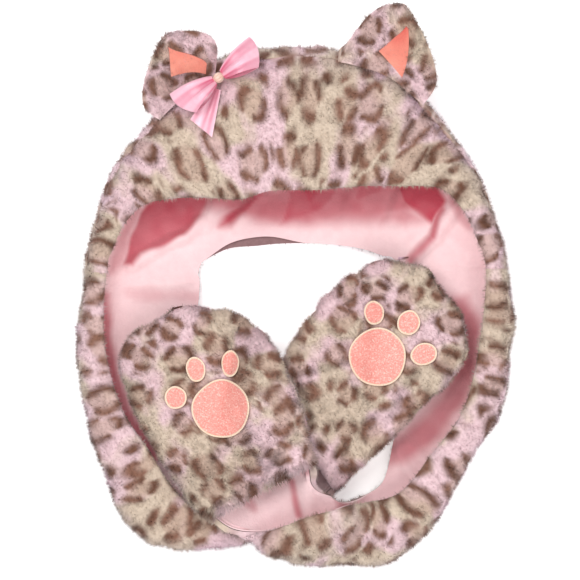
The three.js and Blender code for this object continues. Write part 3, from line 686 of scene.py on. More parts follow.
def strands(
    name,
    points,
    colours,
    per_mm2,
    seed,
    turned=False,
    keep=None,
    lay=(0.0, 0.0),
    length=STRAND_LENGTH,
):
    """Single-triangle strands over a grid: each starts at a random place of a random quad, chosen by area,
    and leans by a slow noise and towards the middle of its lock. Its corners are wound so that it faces the
    direction that it is lit from."""
    rng = np.random.default_rng(seed)
    a, b, c, d = points[:-1, :-1], points[1:, :-1], points[1:, 1:], points[:-1, 1:]
    area = 0.5 * np.linalg.norm(np.cross(c - a, d - b), axis=2).ravel()
    count = int(area.sum() * per_mm2)
    chosen = np.searchsorted(np.cumsum(area), rng.random(count) * area.sum())
    i, j = np.divmod(np.minimum(chosen, area.size - 1), points.shape[1] - 1)
    p, q = rng.random((2, count, 1))

    def at(values):
        """The grid's values at the random places, mixed from the four corners of each quad."""
        low = mix(values[i, j], values[i + 1, j], p)
        return mix(low, mix(values[i, j + 1], values[i + 1, j + 1], p), q)

    root = at(points)
    away = unit(at(grid_normals(points)) * (-1 if turned else 1))
    colour = at(colours)
    if keep is not None:
        kept = keep(root)
        root, away, colour = root[kept], away[kept], colour[kept]
        count = len(root)
    lean = vector_noise(root, LEAN_SIZE, seed + 1) * LEAN_SLOW
    lean = along_cloth(lean + rng.normal(0, LEAN_RANDOM, (count, 3)) + [lay[0], lay[1], 0], away)
    way = unit(away + LEAN_SHARE * lean)
    long = length * (0.75 + 0.5 * rng.random((count, 1)))
    side = unit(np.cross(way, unit(away + rng.normal(0, 0.8, (count, 3)))))
    foot = root - away * STRAND_ROOT
    half = side * STRAND_WIDTH * (0.7 + 0.6 * rng.random((count, 1))) / 2
    tip = foot + way * long + LOCK_GATHER * along_cloth(to_lock(root, seed + 7), away)
    tip[:, 2] = np.maximum(tip[:, 2], 0.05)
    lit = away * [1, 1, 0.7] + [0, 0, 0.5] + 0.45 * lean + 0.12 * rng.normal(0, 1, (count, 3))
    lit = unit(lit)
    facing = np.sum(np.cross(half, tip - foot) * lit, axis=1, keepdims=True)
    half = half * np.where(facing < 0, -1, 1)
    corners = np.stack([foot - half, foot + half, tip], axis=1).reshape(-1, 3)
    tone = 0.94 + 0.12 * rng.random((count, 1, 1))
    # Each strand's colour, times its random tone and the painted shade from its foot to its tip.
    shades = np.clip(colour[:, None, :] * tone * STRAND_PAINTED_SHADE, 0, 1).reshape(-1, 3)
    faces = np.arange(3 * count).reshape(-1, 3)
    return make_mesh(name, corners, faces, 3, shades, np.repeat(lit, 3, axis=0))


# %% [markdown]
# ## Materials
#
# Plush scatters light at grazing angles, which the sheen layer gives. Fleece is a matt nap with small
# pills. The bow is satin, smooth along its threads, and the paws and inner ears are embroidery and felt.
# Numbers that are the same all over sit on the shader's own sockets.

# %% Material helpers
def new_material(name, roughness, sheen=0.0, sheen_rough=0.5, specular=0.5):
    """A material whose even numbers sit on the shader's own sockets."""
    material = bpy.data.materials.new(name)
    material.use_nodes = True
    tree = material.node_tree
    shader = tree.nodes["Principled BSDF"]
    shader.inputs["Roughness"].default_value = roughness
    shader.inputs["Sheen Weight"].default_value = sheen
    shader.inputs["Sheen Roughness"].default_value = sheen_rough
    shader.inputs["Specular IOR Level"].default_value = specular
    return material, tree, shader


def node(tree, kind, links=(), **values):
    """A node with its settings, and links given as (input name, output socket)."""
    made = tree.nodes.new(kind)
    for key, value in values.items():
        if key in made.inputs:
            made.inputs[key].default_value = value
        else:
            setattr(made, key, value)
    for key, socket in links:
        tree.links.new(socket, made.inputs[key])
    return made


def object_noise(tree, scale, detail=2.0, rough=0.5):
    """Blender's noise on Object coordinates, which are metres here: scale is waves in a metre."""
    place = [("Vector", node(tree, "ShaderNodeTexCoord").outputs["Object"])]
    made = node(tree, "ShaderNodeTexNoise", place, Scale=scale, Detail=detail, Roughness=rough)
    return made.outputs["Fac"]


def ramp(tree, socket, stops):
    """A number turned into a colour that passes through the stops, each a place and a colour."""
    made = node(tree, "ShaderNodeValToRGB", [("Fac", socket)])
    elements = made.color_ramp.elements
    while len(elements) < len(stops):
        elements.new(0.5)
    for element, (place, colour) in zip(elements, stops):
        element.position = place
        element.color = (*colour, 1)
    return made.outputs["Color"]


def rough_bump(tree, shader, height, strength, distance):
    """Relief in the shading alone, from a number that says how high each place stands."""
    made = node(tree, "ShaderNodeBump", [("Height", height)], Strength=strength, Distance=distance)
    tree.links.new(made.outputs["Normal"], shader.inputs["Normal"])


def times_print(tree, shader, fac, low, high):
    """Base colour: the colour kept at each point, times a shade from low to high that follows fac."""
    print_colour = node(tree, "ShaderNodeAttribute", attribute_name="Print").outputs["Color"]
    mixed = node(tree, "ShaderNodeMix", data_type="RGBA", blend_type="MULTIPLY")
    mixed.inputs[0].default_value = 1.0
    tree.links.new(print_colour, mixed.inputs[6])
    tree.links.new(ramp(tree, fac, [(0.3, low), (0.7, high)]), mixed.inputs[7])
    tree.links.new(mixed.outputs[2], shader.inputs["Base Color"])


def printed_cloth(name, finish, shade_noise, low, high, relief_noise, strength, depth):
    """Cloth in the colours kept at its points: one noise shades them between the tints low and high, and
    another is its relief. finish is roughness, sheen, the sheen's roughness and the specular level."""
    material, tree, shader = new_material(name, *finish)
    times_print(tree, shader, object_noise(tree, *shade_noise), low, high)
    rough_bump(tree, shader, object_noise(tree, *relief_noise), strength, depth)
    return material


def dyed_cloth(name, finish, colour_noise, dyes, relief_noise=None, strength=0.0, depth=0.0):
    """Cloth whose colour passes through the dyes along one noise, with another noise as its relief."""
    material, tree, shader = new_material(name, *finish)
    stops = [(place, tuple(linear(dye))) for place, dye in dyes]
    colour = ramp(tree, object_noise(tree, *colour_noise), stops)
    tree.links.new(colour, shader.inputs["Base Color"])
    if relief_noise:
        rough_bump(tree, shader, object_noise(tree, *relief_noise), strength, depth)
    return material


# %% Plush and fleece
PLUSH = printed_cloth(
    "plush", (0.85, 0.25, 0.45, 0.25), (300, 3), (0.9, 0.89, 0.88), (1.06, 1.06, 1.07), (500, 3), 0.3, 0.002
)
NAP = (480, 4, 0.65)
FLEECE = printed_cloth(
    "fleece", (0.9, 0.3, 0.6, 0.2), (70, 4, 0.6), (0.94, 0.9, 0.91), (1.02, 1.02, 1.02), NAP, 0.45, 0.0016
)


def dress(thing, material, slot, *replaced):
    """Give a piece its material and say which plain solids it takes the place of. The slot is not used."""
    thing.data.materials.append(material)
    if replaced:
        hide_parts(*replaced)
    return thing


# %% [markdown]
# ## The hood and the scarf ends in plush
#
# Each panel follows its solid: the inner skin is the seam surface and the outer skin stands a pile's
# depth away. At a hem the pile rounds down to the edge. The two dents in the forehead are where the
# plush is creased in the photograph.

# %% Panels
# Row past the hood's first, then the middle, half length and depth of each dent along the panel.
DENTS = [[4.63, 0.07, 0.06, 0.6], [6.4, 0.135, 0.06, 0.55]]
DENT_WIDTH = 0.17
# The knitted back is a dark mauve: its own colour, darkened by painted shade where its sliver shows at the
# nape.
BACKING, STITCHED, SHADED_KNIT_BACK = 5.6, 0.15, linear("8E6F70")
HEM_ROUND, HEM_LEAST = 8, 0.3
ROWS, SEAM_STEP = 17, 0.0002
FINE = 1.0


def rows_for(s_from, s_to, per_row):
    count = int(np.ceil(abs(s_to - s_from) * per_row * FINE)) + 1
    return np.linspace(s_from, s_to, count)


def fine_columns(stations, spacing):
    """Columns about spacing millimetres apart, from pairs of v and the length of cloth so far."""
    v, length = np.array(stations, float).T
    count = int(np.ceil((length[-1] - length[0]) / spacing * FINE))
    return np.interp(np.linspace(length[0], length[-1], count + 1), length, v)


def hem_round(near, least=HEM_LEAST):
    """The share of the pile's depth that far from a hem: a quarter round over the last few millimetres."""
    q = np.clip(near / HEM_ROUND, 0, 1)
    return least + (1 - least) * np.sqrt(1 - (1 - q) ** 2)


def dents(s, v):
    """How much of the depth the forehead's dents take: the root of a tent along them, times a soft hump."""
    deepest = 0
    for row, middle, half, depth in DENTS:
        along = np.clip(1 - np.abs(v - middle) / (1.25 * half), 0, 1) ** 0.5
        across = bump(s, LEFT_SEAM + 1 + row, 1.5 * DENT_WIDTH)
        deepest = np.maximum(deepest, depth * along * across)
    return deepest


def plush_panel(name, surface, s, v, v_zero, seed, fade, density, lay=(0.0, 0.0)):
    """One panel: the backing with its tufts, less deep at the hems as fade says, and its strands."""
    s, v = np.broadcast_arrays(s[:, None], v[None, :])
    seam = surface(s, v)
    out = normals(surface, s, v)
    depth = (BACKING + tufts(seam, seed)) * fade(s, v, seam)
    outer = seam + out * depth[..., None]
    colours = two_sided_print(s, outer, v_zero, seed)
    # The hood's back panel has the knitted back, partly painted shade, on its inner skin.
    inner_colour = SHADED_KNIT_BACK if name == "hood_back" else None
    body = cloth(name + "_plush", outer, seam + out * STITCHED, colours, inner_colour)
    pile = strands(name + "_pile", outer, colours, density * FINE**2, seed + 50, lay=lay)
    dress(body, PLUSH, "plush", name)
    dress(pile, PLUSH, "plush")


# %% Hood
HOOD_S = rows_for(LEFT_SEAM + SEAM_STEP, RIGHT_SEAM - SEAM_STEP, ROWS)
FRONT_V = fine_columns([(0, 0), (CREASE - SEAM_STEP, 110)], 2.0)
BACK_V = fine_columns([(CREASE + SEAM_STEP, 0), (TURN, 25), (0.6, 80), (1, 190)], 2.2)
BACK_TURN = 10


def front_fade(s, v, points):
    """The hem's round at the brow, less the dents."""
    near = (v / CREASE) * np.linalg.norm(points[:, -1:] - points[:, :1], axis=2)
    hem = hem_round(near)
    return hem - dents(s, v) * hem


def back_fade(s, v, points):
    """The hem's round at the nape."""
    run = run_across(points)
    return hem_round(run[:, -1:] - run)


plush_panel("hood_front", hood_surface, HOOD_S, FRONT_V, -1, 3, front_fade, 0.9, (0.0, -0.25))
plush_panel("hood_back", hood_surface, HOOD_S, BACK_V, BACK_TURN, 19, back_fade, 0.32)
print("hood:", len(HOOD_S), "rows of", len(FRONT_V), "and", len(BACK_V), "columns")

# %% Scarf ends
SCARF_STATIONS = [(0, 0), (TURN, 75), (0.5, 100), (1, 185)]
SCARF_V = fine_columns(SCARF_STATIONS, 2.1)
SCARF_TURN = int(np.argmin(np.abs(SCARF_V - TURN)))
SCARVES = {
    "left": (left_surface, rows_for(0, LEFT_SEAM - SEAM_STEP, ROWS), 37),
    "right": (right_surface, rows_for(RIGHT_SEAM + SEAM_STEP, RING_END, ROWS), 53),
}


def hem_fade(s, v, points):
    """The hem's round at both long edges, but the full depth where a mitten's back is sewn on."""
    run = run_across(points)
    near = np.minimum(run, run[:, -1:] - run)
    return mix(hem_round(near), 1, mitten_share(s))


for side, (surface, rows, seed) in SCARVES.items():
    plush_panel(f"scarf_{side}", surface, rows, SCARF_V, SCARF_TURN, seed, hem_fade, 0.75)
    print("scarf end,", side + ":", len(rows), "rows of", len(SCARF_V), "columns")

# %% [markdown]
# ## Mitten backs
#
# A mitten's back is a second panel, sewn along the sole's sides and open at the cuff. It could be one bag
# with the sole, but two panels keep the side seam where a maker sews it. Creases press the pile down along
# short lines. Under each pad the pile lies flat and no strands grow, so that none comes through the thread.

# %% Creases
def near_lines(points, table):
    """The last number of each row, fading as (1 - q^2)^2 with the distance from the row's line. Where lines
    meet, the strongest counts."""
    found = np.zeros(points.shape[:-1])
    for x0, y0, x1, y1, half, amount in table:
        start, way = np.array([x0, y0], float), np.array([x1 - x0, y1 - y0], float)
        q = np.clip((points[..., 0:2] - start) @ way / (way @ way), 0, 1)
        off = np.linalg.norm(points[..., 0:2] - start - q[..., None] * way, axis=-1)
        found = np.maximum(found, amount * bump(off, 0, half))
    return found


# %% Mitten backs
# Creases of the mittens' backs: from x and y to x and y in millimetres, half width, share of the depth.
CREASES = {
    "left": [
        [46.8, -78.2, 0, -89.2, 6, 0.6],
        [4.2, -99.5, 13.6, -125.8, 6, 0.6],
        [102, -85, 78.2, -125.8, 7, 0.55],
        [80, -118, 60, -128, 6, 0.5],
    ],
    "right": [[-12, -152, -22, -168, 5, 0.5], [-70, -160, -74, -182, 6, 0.5]],
}
CREASE_PAINTED_SHADE = 0.6
MITTEN_BACKING, PAD_PRESS, CUFF_LEAST, ROW_LENGTH = BACKING + 0.4, 0.25, 0.45, 24
CUFF_LAY, CUFF_PILE, CUFF_GRID_ROWS = (0.3, -0.8), 6.4, 5
MITTEN_V = fine_columns([(0, 0), (0.1, 16), (0.5, 75), (0.9, 134), (1, 150)], 2.1)
TOP_CELL, TOP_GRID = 2.0, 300


def height_of_top(points):
    """Height by place of a mitten's own top: the highest point of each small cell, with the gaps filled."""
    tops = tops_by_cell(points, TOP_CELL, TOP_GRID, -1)
    for _ in range(3):
        tops = np.where(tops < 0, of_neighbours(np.max, tops, 1), tops)
    return height_map(of_neighbours(np.mean, tops, 1), TOP_CELL)


# %% Places of the pads
# Row past the seam, v, width and length as shares of the palm's width, and turn in degrees: the palm first.
PADS = {
    "left": [
        [10.51, 0.482, 0.97, 1, 0],
        [11.31, 0.64, 0.32, 0.39, 8],
        [11.59, 0.47, 0.37, 0.41, -20],
        [10.92, 0.317, 0.44, 0.36, 18],
    ],
    "right": [
        [10.47, 0.509, 1, 1, 0],
        [11.29, 0.636, 0.29, 0.43, -3],
        [11.3, 0.48, 0.31, 0.41, 12],
        [10.77, 0.339, 0.36, 0.37, 10],
    ],
}


def pad_places(mitten, seam_at, away, side):
    """Centre, half sizes and turn of each pad, in millimetres and radians."""
    found = []
    for row, v, wide, long, turn in PADS[side]:
        centre = mitten(np.array(seam_at + away * row), np.array(v))
        found.append((centre, wide * PALM_WIDTH / 2, long * PALM_WIDTH / 2, np.radians(turn)))
    return found


def in_pad(points, pads, margin):
    """True where a place lies inside one of the ellipses, grown by margin."""
    inside = np.zeros(points.shape[:-1], bool)
    for centre, wide, long, turn in pads:
        d = points[..., 0:2] - centre[0:2]
        a = (d[..., 0] * np.cos(turn) + d[..., 1] * np.sin(turn)) / (wide + margin)
        b = (-d[..., 0] * np.sin(turn) + d[..., 1] * np.cos(turn)) / (long + margin)
        inside |= a * a + b * b < 1
    return inside


# %% Making the mitten backs
def mitten_back(side, mitten, s, seam_at, away, seed):
    """The back's outer skin, pressed in under the pads and along the creases, and the strands off the pads.
    The right one, which lies on top, has longer fluff at its cuff. Returns the height of its top by place,
    and the places of its pads."""
    pads = pad_places(mitten, seam_at, away, side)
    s, v = np.broadcast_arrays(s[:, None], MITTEN_V[None, :])
    seam = mitten(s, v)
    out = -normals(mitten, s, v)
    depth = (MITTEN_BACKING + tufts(seam, seed)) * (1 - PAD_PRESS * in_pad(seam, pads, 0.5))
    from_cuff = np.abs(s - (seam_at + away * CUFF_ROW[side])) * ROW_LENGTH
    crease = near_lines(seam, CREASES[side])
    depth = depth * hem_round(from_cuff, CUFF_LEAST) * (1 - crease)
    outer = seam + out * depth[..., None]
    colours = leopard(outer[..., 0:2] + 90.0 * (side == "left"), seed)
    # Painted shade along the creases, darkest where they press deepest.
    colours = colours * (1 - CREASE_PAINTED_SHADE * crease**2)[..., None]
    body = cloth(f"mitten_back_{side}_plush", outer, seam + out * STITCHED, colours, turned=True)
    pile = strands(
        f"mitten_back_{side}_pile",
        outer,
        colours,
        1.2 * FINE**2,
        seed + 50,
        turned=True,
        keep=lambda root: ~in_pad(root, pads, -0.6),
    )
    dress(body, PLUSH, "plush", f"mitten_back_{side}")
    dress(pile, PLUSH, "plush")
    if side == "right":
        fluff = strands(
            "mitten_back_right_fluff",
            outer[:CUFF_GRID_ROWS],
            colours[:CUFF_GRID_ROWS],
            2.2 * FINE**2,
            seed + 60,
            turned=True,
            lay=CUFF_LAY,
            length=CUFF_PILE,
        )
        dress(fluff, PLUSH, "plush")
    return height_of_top(outer), pads


left_tops, left_pads = mitten_back("left", left_mitten, rows_for(0, LEFT_CUFF, ROWS), LEFT_SEAM, -1, 71)
right_rows = rows_for(RIGHT_CUFF, RING_END, ROWS)
right_tops, right_pads = mitten_back("right", right_mitten, right_rows, RIGHT_SEAM, 1, 89)
MITTENS = {"left": (left_pads, left_tops), "right": (right_pads, right_tops)}
print("mitten backs made, with", len(left_pads) + len(right_pads), "places for pads")

# %% [markdown]
# ## The fleece lining
#
# Fleece has no print. What shows is how it lies: folds where it has more cloth than the plush round it, and
# a deep pink where it turns away from the light. A cloth simulation would fold it anew after each change,
# so the folds are lines in a table, and that shade is painted as a deep pink colour kept at each point.

# %% Fleece folds
# A fold runs from x and y to x and y in millimetres, and has a half width and a height. A shade line is
# painted shade, with the depth of its pink in place of the height.
FOLDS = [
    [-140, 4, -110, 23, 9, 5.0],
    [-110, 23, -93, 29, 9, 5.5],
    [-93, 29, -80, 42, 9, 4.5],
    [-66, 62, -78, 36, 9, 4.0],
    [-31, 64, -50, 38, 10, 3.5],
    [50, 66, 46, 46, 10, 2.5],
    [92, 66, 84, 42, 10, 3.5],
    [136, 52, 120, 28, 10, 5.5],
    [120, 28, 104, 12, 9, 5.0],
    [-158, -14, -90, -11, 5, 1.5],
    [112, -2, 160, 5, 5, 1.5],
    [6, -166, 12, -204, 9, 4.5],
    [-34, -174, -18, -204, 8, 3.0],
    [84, -148, 106, -186, 9, 4.0],
    [96, -150, 124, -176, 9, 3.5],
]
SHADE_LINES = [
    [125, 52, 118, 30, 6.5, 0.8],
    [118, 30, 99, 8, 6.5, 0.7],
    [-142, -19, -84, -24, 9, 0.25],
    [-4, -166, 4, -206, 5, 0.7],
    [-58, -190, -30, -176, 10, 0.75],
    [4, -166, 30, -170, 7, 0.5],
    [-52, -186, -36, -202, 7, 0.4],
    [30, -163, 38, -201, 6, 0.5],
    [133, 63, 149, 39, 7, 0.35],
]
# Each area of painted shade has the depth of its pink, the softness of its edge in millimetres and its
# corners.
FAR_LEFT_POCKET = [
    (-147, 5), (-140, 27), (-132, 49), (-123, 61), (-99, 68), (-72, 66), (-80, 46), (-94, 29), (-110, 23),
    (-132, 13), (-140, 4),
]
ITS_OUTER_SIDE = [
    (-162, -5), (-156, 21), (-144, 47), (-132, 60), (-132, 49), (-140, 27), (-145, 7), (-154, -2),
]
UNDER_THE_BROW = [
    (-84, 72), (-20, 72), (60, 80), (112, 78), (104, 48), (60, 42), (10, 40), (-30, 42), (-58, 48),
    (-80, 60),
]
LEFT_DIAGONAL = [(-38, 68), (-22, 68), (-40, 50), (-56, 37), (-66, 36), (-62, 46)]
MIDDLE_OF_BROW = [(-8, 72), (42, 76), (36, 60), (26, 50), (4, 42), (-14, 40)]
ITS_DARKEST_PART = [(4, 72), (30, 74), (22, 60), (10, 50)]
RIGHT_OF_MIDDLE = [(56, 78), (84, 80), (76, 66), (58, 56), (48, 58)]
RIGHT_POCKET = [(84, 78), (120, 82), (130, 60), (118, 40), (106, 47), (94, 56)]
BELOW_THE_POCKET = [(60, 54), (94, 58), (112, 44), (96, 38), (72, 40)]
ALONG_UPPER_MITTEN = [
    (128, -26), (149, -22), (161, -51), (157, -87), (147, -114), (132, -134), (115, -151), (93, -167),
    (71, -172), (65, -162), (89, -144), (115, -119), (133, -94), (142, -60),
]
LEFT_RIM_INSIDE = [
    (-169, -17), (-161, -22), (-157, -60), (-150, -94), (-137, -128), (-113, -160), (-123, -167),
    (-145, -136), (-161, -102), (-167, -60),
]
SHADE_AREAS = [
    (0.9, 3, FAR_LEFT_POCKET),
    (0.4, 5, ITS_OUTER_SIDE),
    (0.78, 9, UNDER_THE_BROW),
    (0.95, 5, LEFT_DIAGONAL),
    (0.92, 7, MIDDLE_OF_BROW),
    (1.0, 6, ITS_DARKEST_PART),
    (0.9, 6, RIGHT_OF_MIDDLE),
    (1.0, 4, RIGHT_POCKET),
    (0.62, 7, BELOW_THE_POCKET),
    (0.68, 7, ALONG_UPPER_MITTEN),
    (0.8, 4, LEFT_RIM_INSIDE),
]
print("fleece:", len(FOLDS), "folds,", len(SHADE_LINES), "shade lines,", len(SHADE_AREAS), "shade areas")

# %% Depth of the pink, which is painted shade
FLEECE_PINK, FLEECE_SHADED = linear("FCDBDD"), linear("C04A5A")
DRIFT, DRIFT_SIZE = 2.0, 14


def in_area(points, corners, soft):
    """1 inside the corners and 0 outside, with a soft edge: the crossings of the edges, odd or even, give
    the side, and the nearest edge gives the distance."""
    corners = np.array(corners, float)
    away = np.full(points.shape[:-1], 1e9)
    inside = np.zeros(points.shape[:-1], bool)
    x, y = points[..., 0], points[..., 1]
    for (x0, y0), (x1, y1) in zip(corners, np.roll(corners, -1, axis=0)):
        way = np.array([x1 - x0, y1 - y0])
        q = np.clip(((x - x0) * way[0] + (y - y0) * way[1]) / (way @ way), 0, 1)
        away = np.minimum(away, np.hypot(x - x0 - q * way[0], y - y0 - q * way[1]))
        crosses = (y0 > y) != (y1 > y)
        inside ^= crosses & (x < x0 + (y - y0) * way[0] / (way[1] if way[1] else 1e-9))
    return smooth(-soft, soft, np.where(inside, away, -away))


def shade_at(points):
    """How deep the painted shade's pink is at each place: the strongest of the lines and areas, unevenly
    soft.
    """
    flat = points[..., 0:2]
    places = flat + DRIFT * np.stack([flat_noise(flat, DRIFT_SIZE, 61 + k) for k in (0, 1)], axis=-1)
    shade = near_lines(places, SHADE_LINES)
    for depth, soft, corners in SHADE_AREAS:
        shade = np.maximum(shade, depth * in_area(places, corners, soft))
    return np.clip(shade + 0.06 * flat_noise(places, 9, 65) * (shade > 0.05), 0, 1)


# %% Fleece linings
# The fleece's thickness at the face edge as a share, and the v by which it is whole. Then where the nape's
# sliver is, half how long it is, and how far in v the fleece is drawn back there.
HEM_SHARE, HEM_V = 0.3, 0.08
NAPE_MIDDLE, NAPE_HALF, NAPE_BACK = -34.0, 46.0, 0.03


def lining(name, surface, s, v, drawn_back=0.0):
    """The fleece: two skins just inside the seam surface, lifted together along the folds that it lies in.
    It thins towards the face edge, where it is sewn under the pile. Over the nape it is drawn back from the
    hem, so that a sliver of the plush's knitted back shows."""
    s, v = np.broadcast_arrays(s[:, None], v[None, :])
    hem_x = surface(s, np.ones_like(s))[..., 0]
    v = v - drawn_back * bump(hem_x, NAPE_MIDDLE, NAPE_HALF) * smooth(0.85, 1, v)
    seam = surface(s, v)
    out = normals(surface, s, v)
    open_side = smooth(TURN + 0.05, TURN + 0.15, v) * smooth(1, 0.95, v) * (1 - mitten_share(s))
    fold = near_lines(seam, FOLDS) * open_side
    nap = 0.3 * noise(seam, 16, 201) + 0.2 * noise(seam, 4.2, 202)
    outer = seam - out * (PLY_GAP + fold)[..., None]
    hem = mix(HEM_SHARE, 1, smooth(0, HEM_V, v))
    inner = outer - out * (hem * (LINING + nap))[..., None]
    # Painted shade: the fleece turns deep pink where it lies in shadow, under the brow, in its pockets and
    # by the rolls.
    shade = shade_at(seam) * smooth(TURN * 0.5, TURN, v)
    colours = mix(FLEECE_PINK, FLEECE_SHADED, shade[..., None])
    dress(cloth(name + "_fleece", outer, inner, colours), FLEECE, "fleece", name)


FLEECE_V = fine_columns(SCARF_STATIONS, 3.0)
lining("hood_lining", hood_surface, HOOD_S, np.concatenate([FRONT_V[:-1:2], BACK_V[1:]]), NAPE_BACK)
for side, (surface, rows, _) in SCARVES.items():
    lining(f"scarf_lining_{side}", surface, rows, FLEECE_V)
print("linings made:", 1 + len(SCARVES))

# %% [markdown]
# ## The ears
#
# An ear is a stuffed pocket of plush that stands on the crown's seam, cupped a little to the front, with a
# patch of coral felt. A ball pulled into shape would lose the seam round its edge, so each ear is two skins
# on one grid: across it, and up from its foot to its tip. The grid's own shares place the patch.

# %% Ear shapes
# Where the foot starts and ends, in rows, its turn and lean in degrees, its height as a share, how pointed
# it is, and how far its first side bulges.
EARS = {"left": [3.2, 4.38, 108, 34, 0.9, 0, 0.36], "right": [6.12, 7.6, 75, 28, 1.0, 0.36, -0.12]}
EAR_LINE, SECOND_BULGE = (0.25, 0.29), 0.36
# Corners of the felt patch, each as shares of the ear's foot and height: two low ones, then two high ones.
PATCHES = {
    "left": [(0.415, 0.398), (0.838, 0.1), (0.487, 0.83), (0.855, 0.225)],
    "right": [(0.365, 0.26), (0.68, 0.1), (0.61, 0.75), (0.645, 0.745)],
}


def ear_skin(ear, a, b, skin, out):
    """A padded wedge on two seam lines: its width closes with height b, its edges curl forward with the
    square of the distance from the middle, and its thickness is a lens across a. Its sides bulge, the one
    with a below a half by first_bulge. skin is 1 for the front."""
    start, end, turn, lean, tall, pointed, first_bulge = ear
    a, b = np.broadcast_arrays(np.asarray(a, float), np.asarray(b, float))

    def feet(share):
        """The middle between the two seam lines at a share of the foot, and half the way across."""
        s = LEFT_SEAM + 1 + mix(start, end, share)
        lines = [hood_surface(s, v) + (FUR + EAR_GAP) * normals(hood_surface, s, v) for v in EAR_LINE]
        return (lines[0] + lines[1]) / 2, (lines[0] - lines[1]) / 2

    turn, lean = np.radians(turn), np.radians(lean)
    axis = np.array([np.cos(lean) * np.cos(turn), np.cos(lean) * np.sin(turn), np.sin(lean)])
    ends, _ = feet(np.array([0.0, 1.0]))
    facing = unit(np.cross(unit(ends[1] - ends[0]), axis))
    middle, _ = feet(np.array([0.5]))
    centre, half = feet(a)
    bulge = np.where(a < 0.5, first_bulge, SECOND_BULGE)
    curve = np.sqrt(np.maximum(0, 1 - b**3)) * (1 + bulge * np.sin(np.pi * b))
    spike = (1 - b**1.25) * 0.98 + 0.02
    width = np.maximum(0.05, mix(curve, spike, pointed * 0.75))[..., None]
    curl = EAR_CUP * (2 * a - 1) ** 2 * smooth(0, 0.6, b) * (1 - 0.5 * b)
    lens = 0.22 + 0.6 * np.sin(np.pi * np.clip(a, 0, 1)) ** 0.6 * np.sqrt(np.clip(1 - b, 0, 1))
    rise = smooth(0, 0.3, b)
    thick = mix(1, lens, rise)[..., None]
    point = (centre - middle) * width + middle + axis * (EAR_HEIGHT * tall * b)[..., None]
    point = point + facing * (curl + out)[..., None]
    return point + mix(half, facing * EAR_PAD / 2, rise[..., None]) * thick * skin


# %% Ears
CORAL_FELT = printed_cloth(
    "coral_felt",
    (0.8, 0.3, 0.5, 0.3),
    (900, 4, 0.7),
    (0.9, 0.88, 0.87),
    (1.04, 1.04, 1.04),
    (1400, 3),
    0.4,
    0.001,
)
CORAL, CORAL_SHADED = linear("F9A08C"), linear("D8564C")
# How deep the coral gets towards the top of each patch, where the ear's cup shades it.
PATCH_SHADE = {"left": 0.35, "right": 1.0}
PATCH_CLEAR, EAR_PUFF, EAR_PILE = 1.9, 0.7, 5.0


def unit_square(count):
    """Two grids of that many steps: the share across and the share up."""
    return np.meshgrid(np.linspace(0, 1, count + 1), np.linspace(0, 1, count + 1))


def felt_patch(side, seed):
    """The coral front: four corners in the ear's own shares, mixed across and then up, and lifted just off
    the plush. Returns the points of its top."""
    across, up = unit_square(30)
    corners = np.array(PATCHES[side])
    low, high = (mix(corners[k], corners[k + 1], across[..., None]) for k in (0, 2))
    a, b = np.moveaxis(mix(low, high, up[..., None]), -1, 0)
    lift = 0.9 + 0.15 * noise(ear_skin(EARS[side], a, b, 1, 0), 3, seed + 9)
    top = ear_skin(EARS[side], a, b, 1, lift + 0.9)
    # Painted shade, deepest towards the top of the patch, where the ear's cup shades it.
    shade = PATCH_SHADE[side] * np.clip(0.15 + 0.85 * up - 0.45 * across * up, 0, 1)
    shade = np.clip(shade + 0.15 * noise(top, 6, seed + 8), 0, 1)
    colours = mix(CORAL, CORAL_SHADED, shade[..., None])
    under = ear_skin(EARS[side], a, b, 1, 0.1)
    patch = cloth(f"ear_inner_{side}_felt", top, under, colours, turned=True)
    dress(patch, CORAL_FELT, "ear_satin", f"ear_inner_{side}")
    return top.reshape(-1, 3)


def ear(side, seed):
    """Two skins of plush with tufts, lower towards the edge, and strands on both but not on the patch."""
    a, b = unit_square(int(44 * max(FINE, 0.6)))
    fronts, backs = (ear_skin(EARS[side], a, b, skin, 0) for skin in (1, -1))
    colours = leopard(fronts[..., 0:2] + 40.0, seed)
    toward = grid_normals(fronts)
    toward = toward * np.sign(np.sum(toward * (fronts - backs), axis=-1, keepdims=True) + 1e-9)
    edge = np.minimum(np.minimum(a, 1 - a) * 4, np.minimum(1 - b, 0.25) * 4)
    puff = tufts(fronts, seed) * EAR_PUFF * np.clip(edge, 0.3, 1)
    fronts = fronts + toward * puff[..., None]
    backs = backs - toward * puff[..., None]
    body = cloth(f"ear_{side}_plush", fronts, backs, colours, turned=True)
    dress(body, PLUSH, "plush", f"ear_{side}")
    patch = felt_patch(side, seed)

    def off_patch(roots):
        """True where a root is further than the clearance from every fourth point of the patch."""
        return np.linalg.norm(roots[:, None, :] - patch[None, ::4, :], axis=2).min(axis=1) > PATCH_CLEAR

    for skin, points, density, turned, keep in (
        ("front", fronts, 1.3, True, off_patch),
        ("back", backs, 0.8, False, None),
    ):
        own_seed = seed + 50 + (skin == "back")
        name = f"ear_{side}_{skin}_pile"
        pile = strands(name, points, colours, density * FINE**2, own_seed, turned, keep, length=EAR_PILE)
        dress(pile, PLUSH, "plush")


ear("left", 107)
ear("right", 131)
print("ears made:", ", ".join(EARS))

# %% [markdown]
# ## Embroidered pads
#
# Each pad is coral thread worked into the plush, with a raised cream satin-stitch border. The top is a
# low dome that follows the mitten, and the border is a small tube whose stitches show as ribs.

# %% Pads
GLINT_SPECK = (750, 3, 0.7)
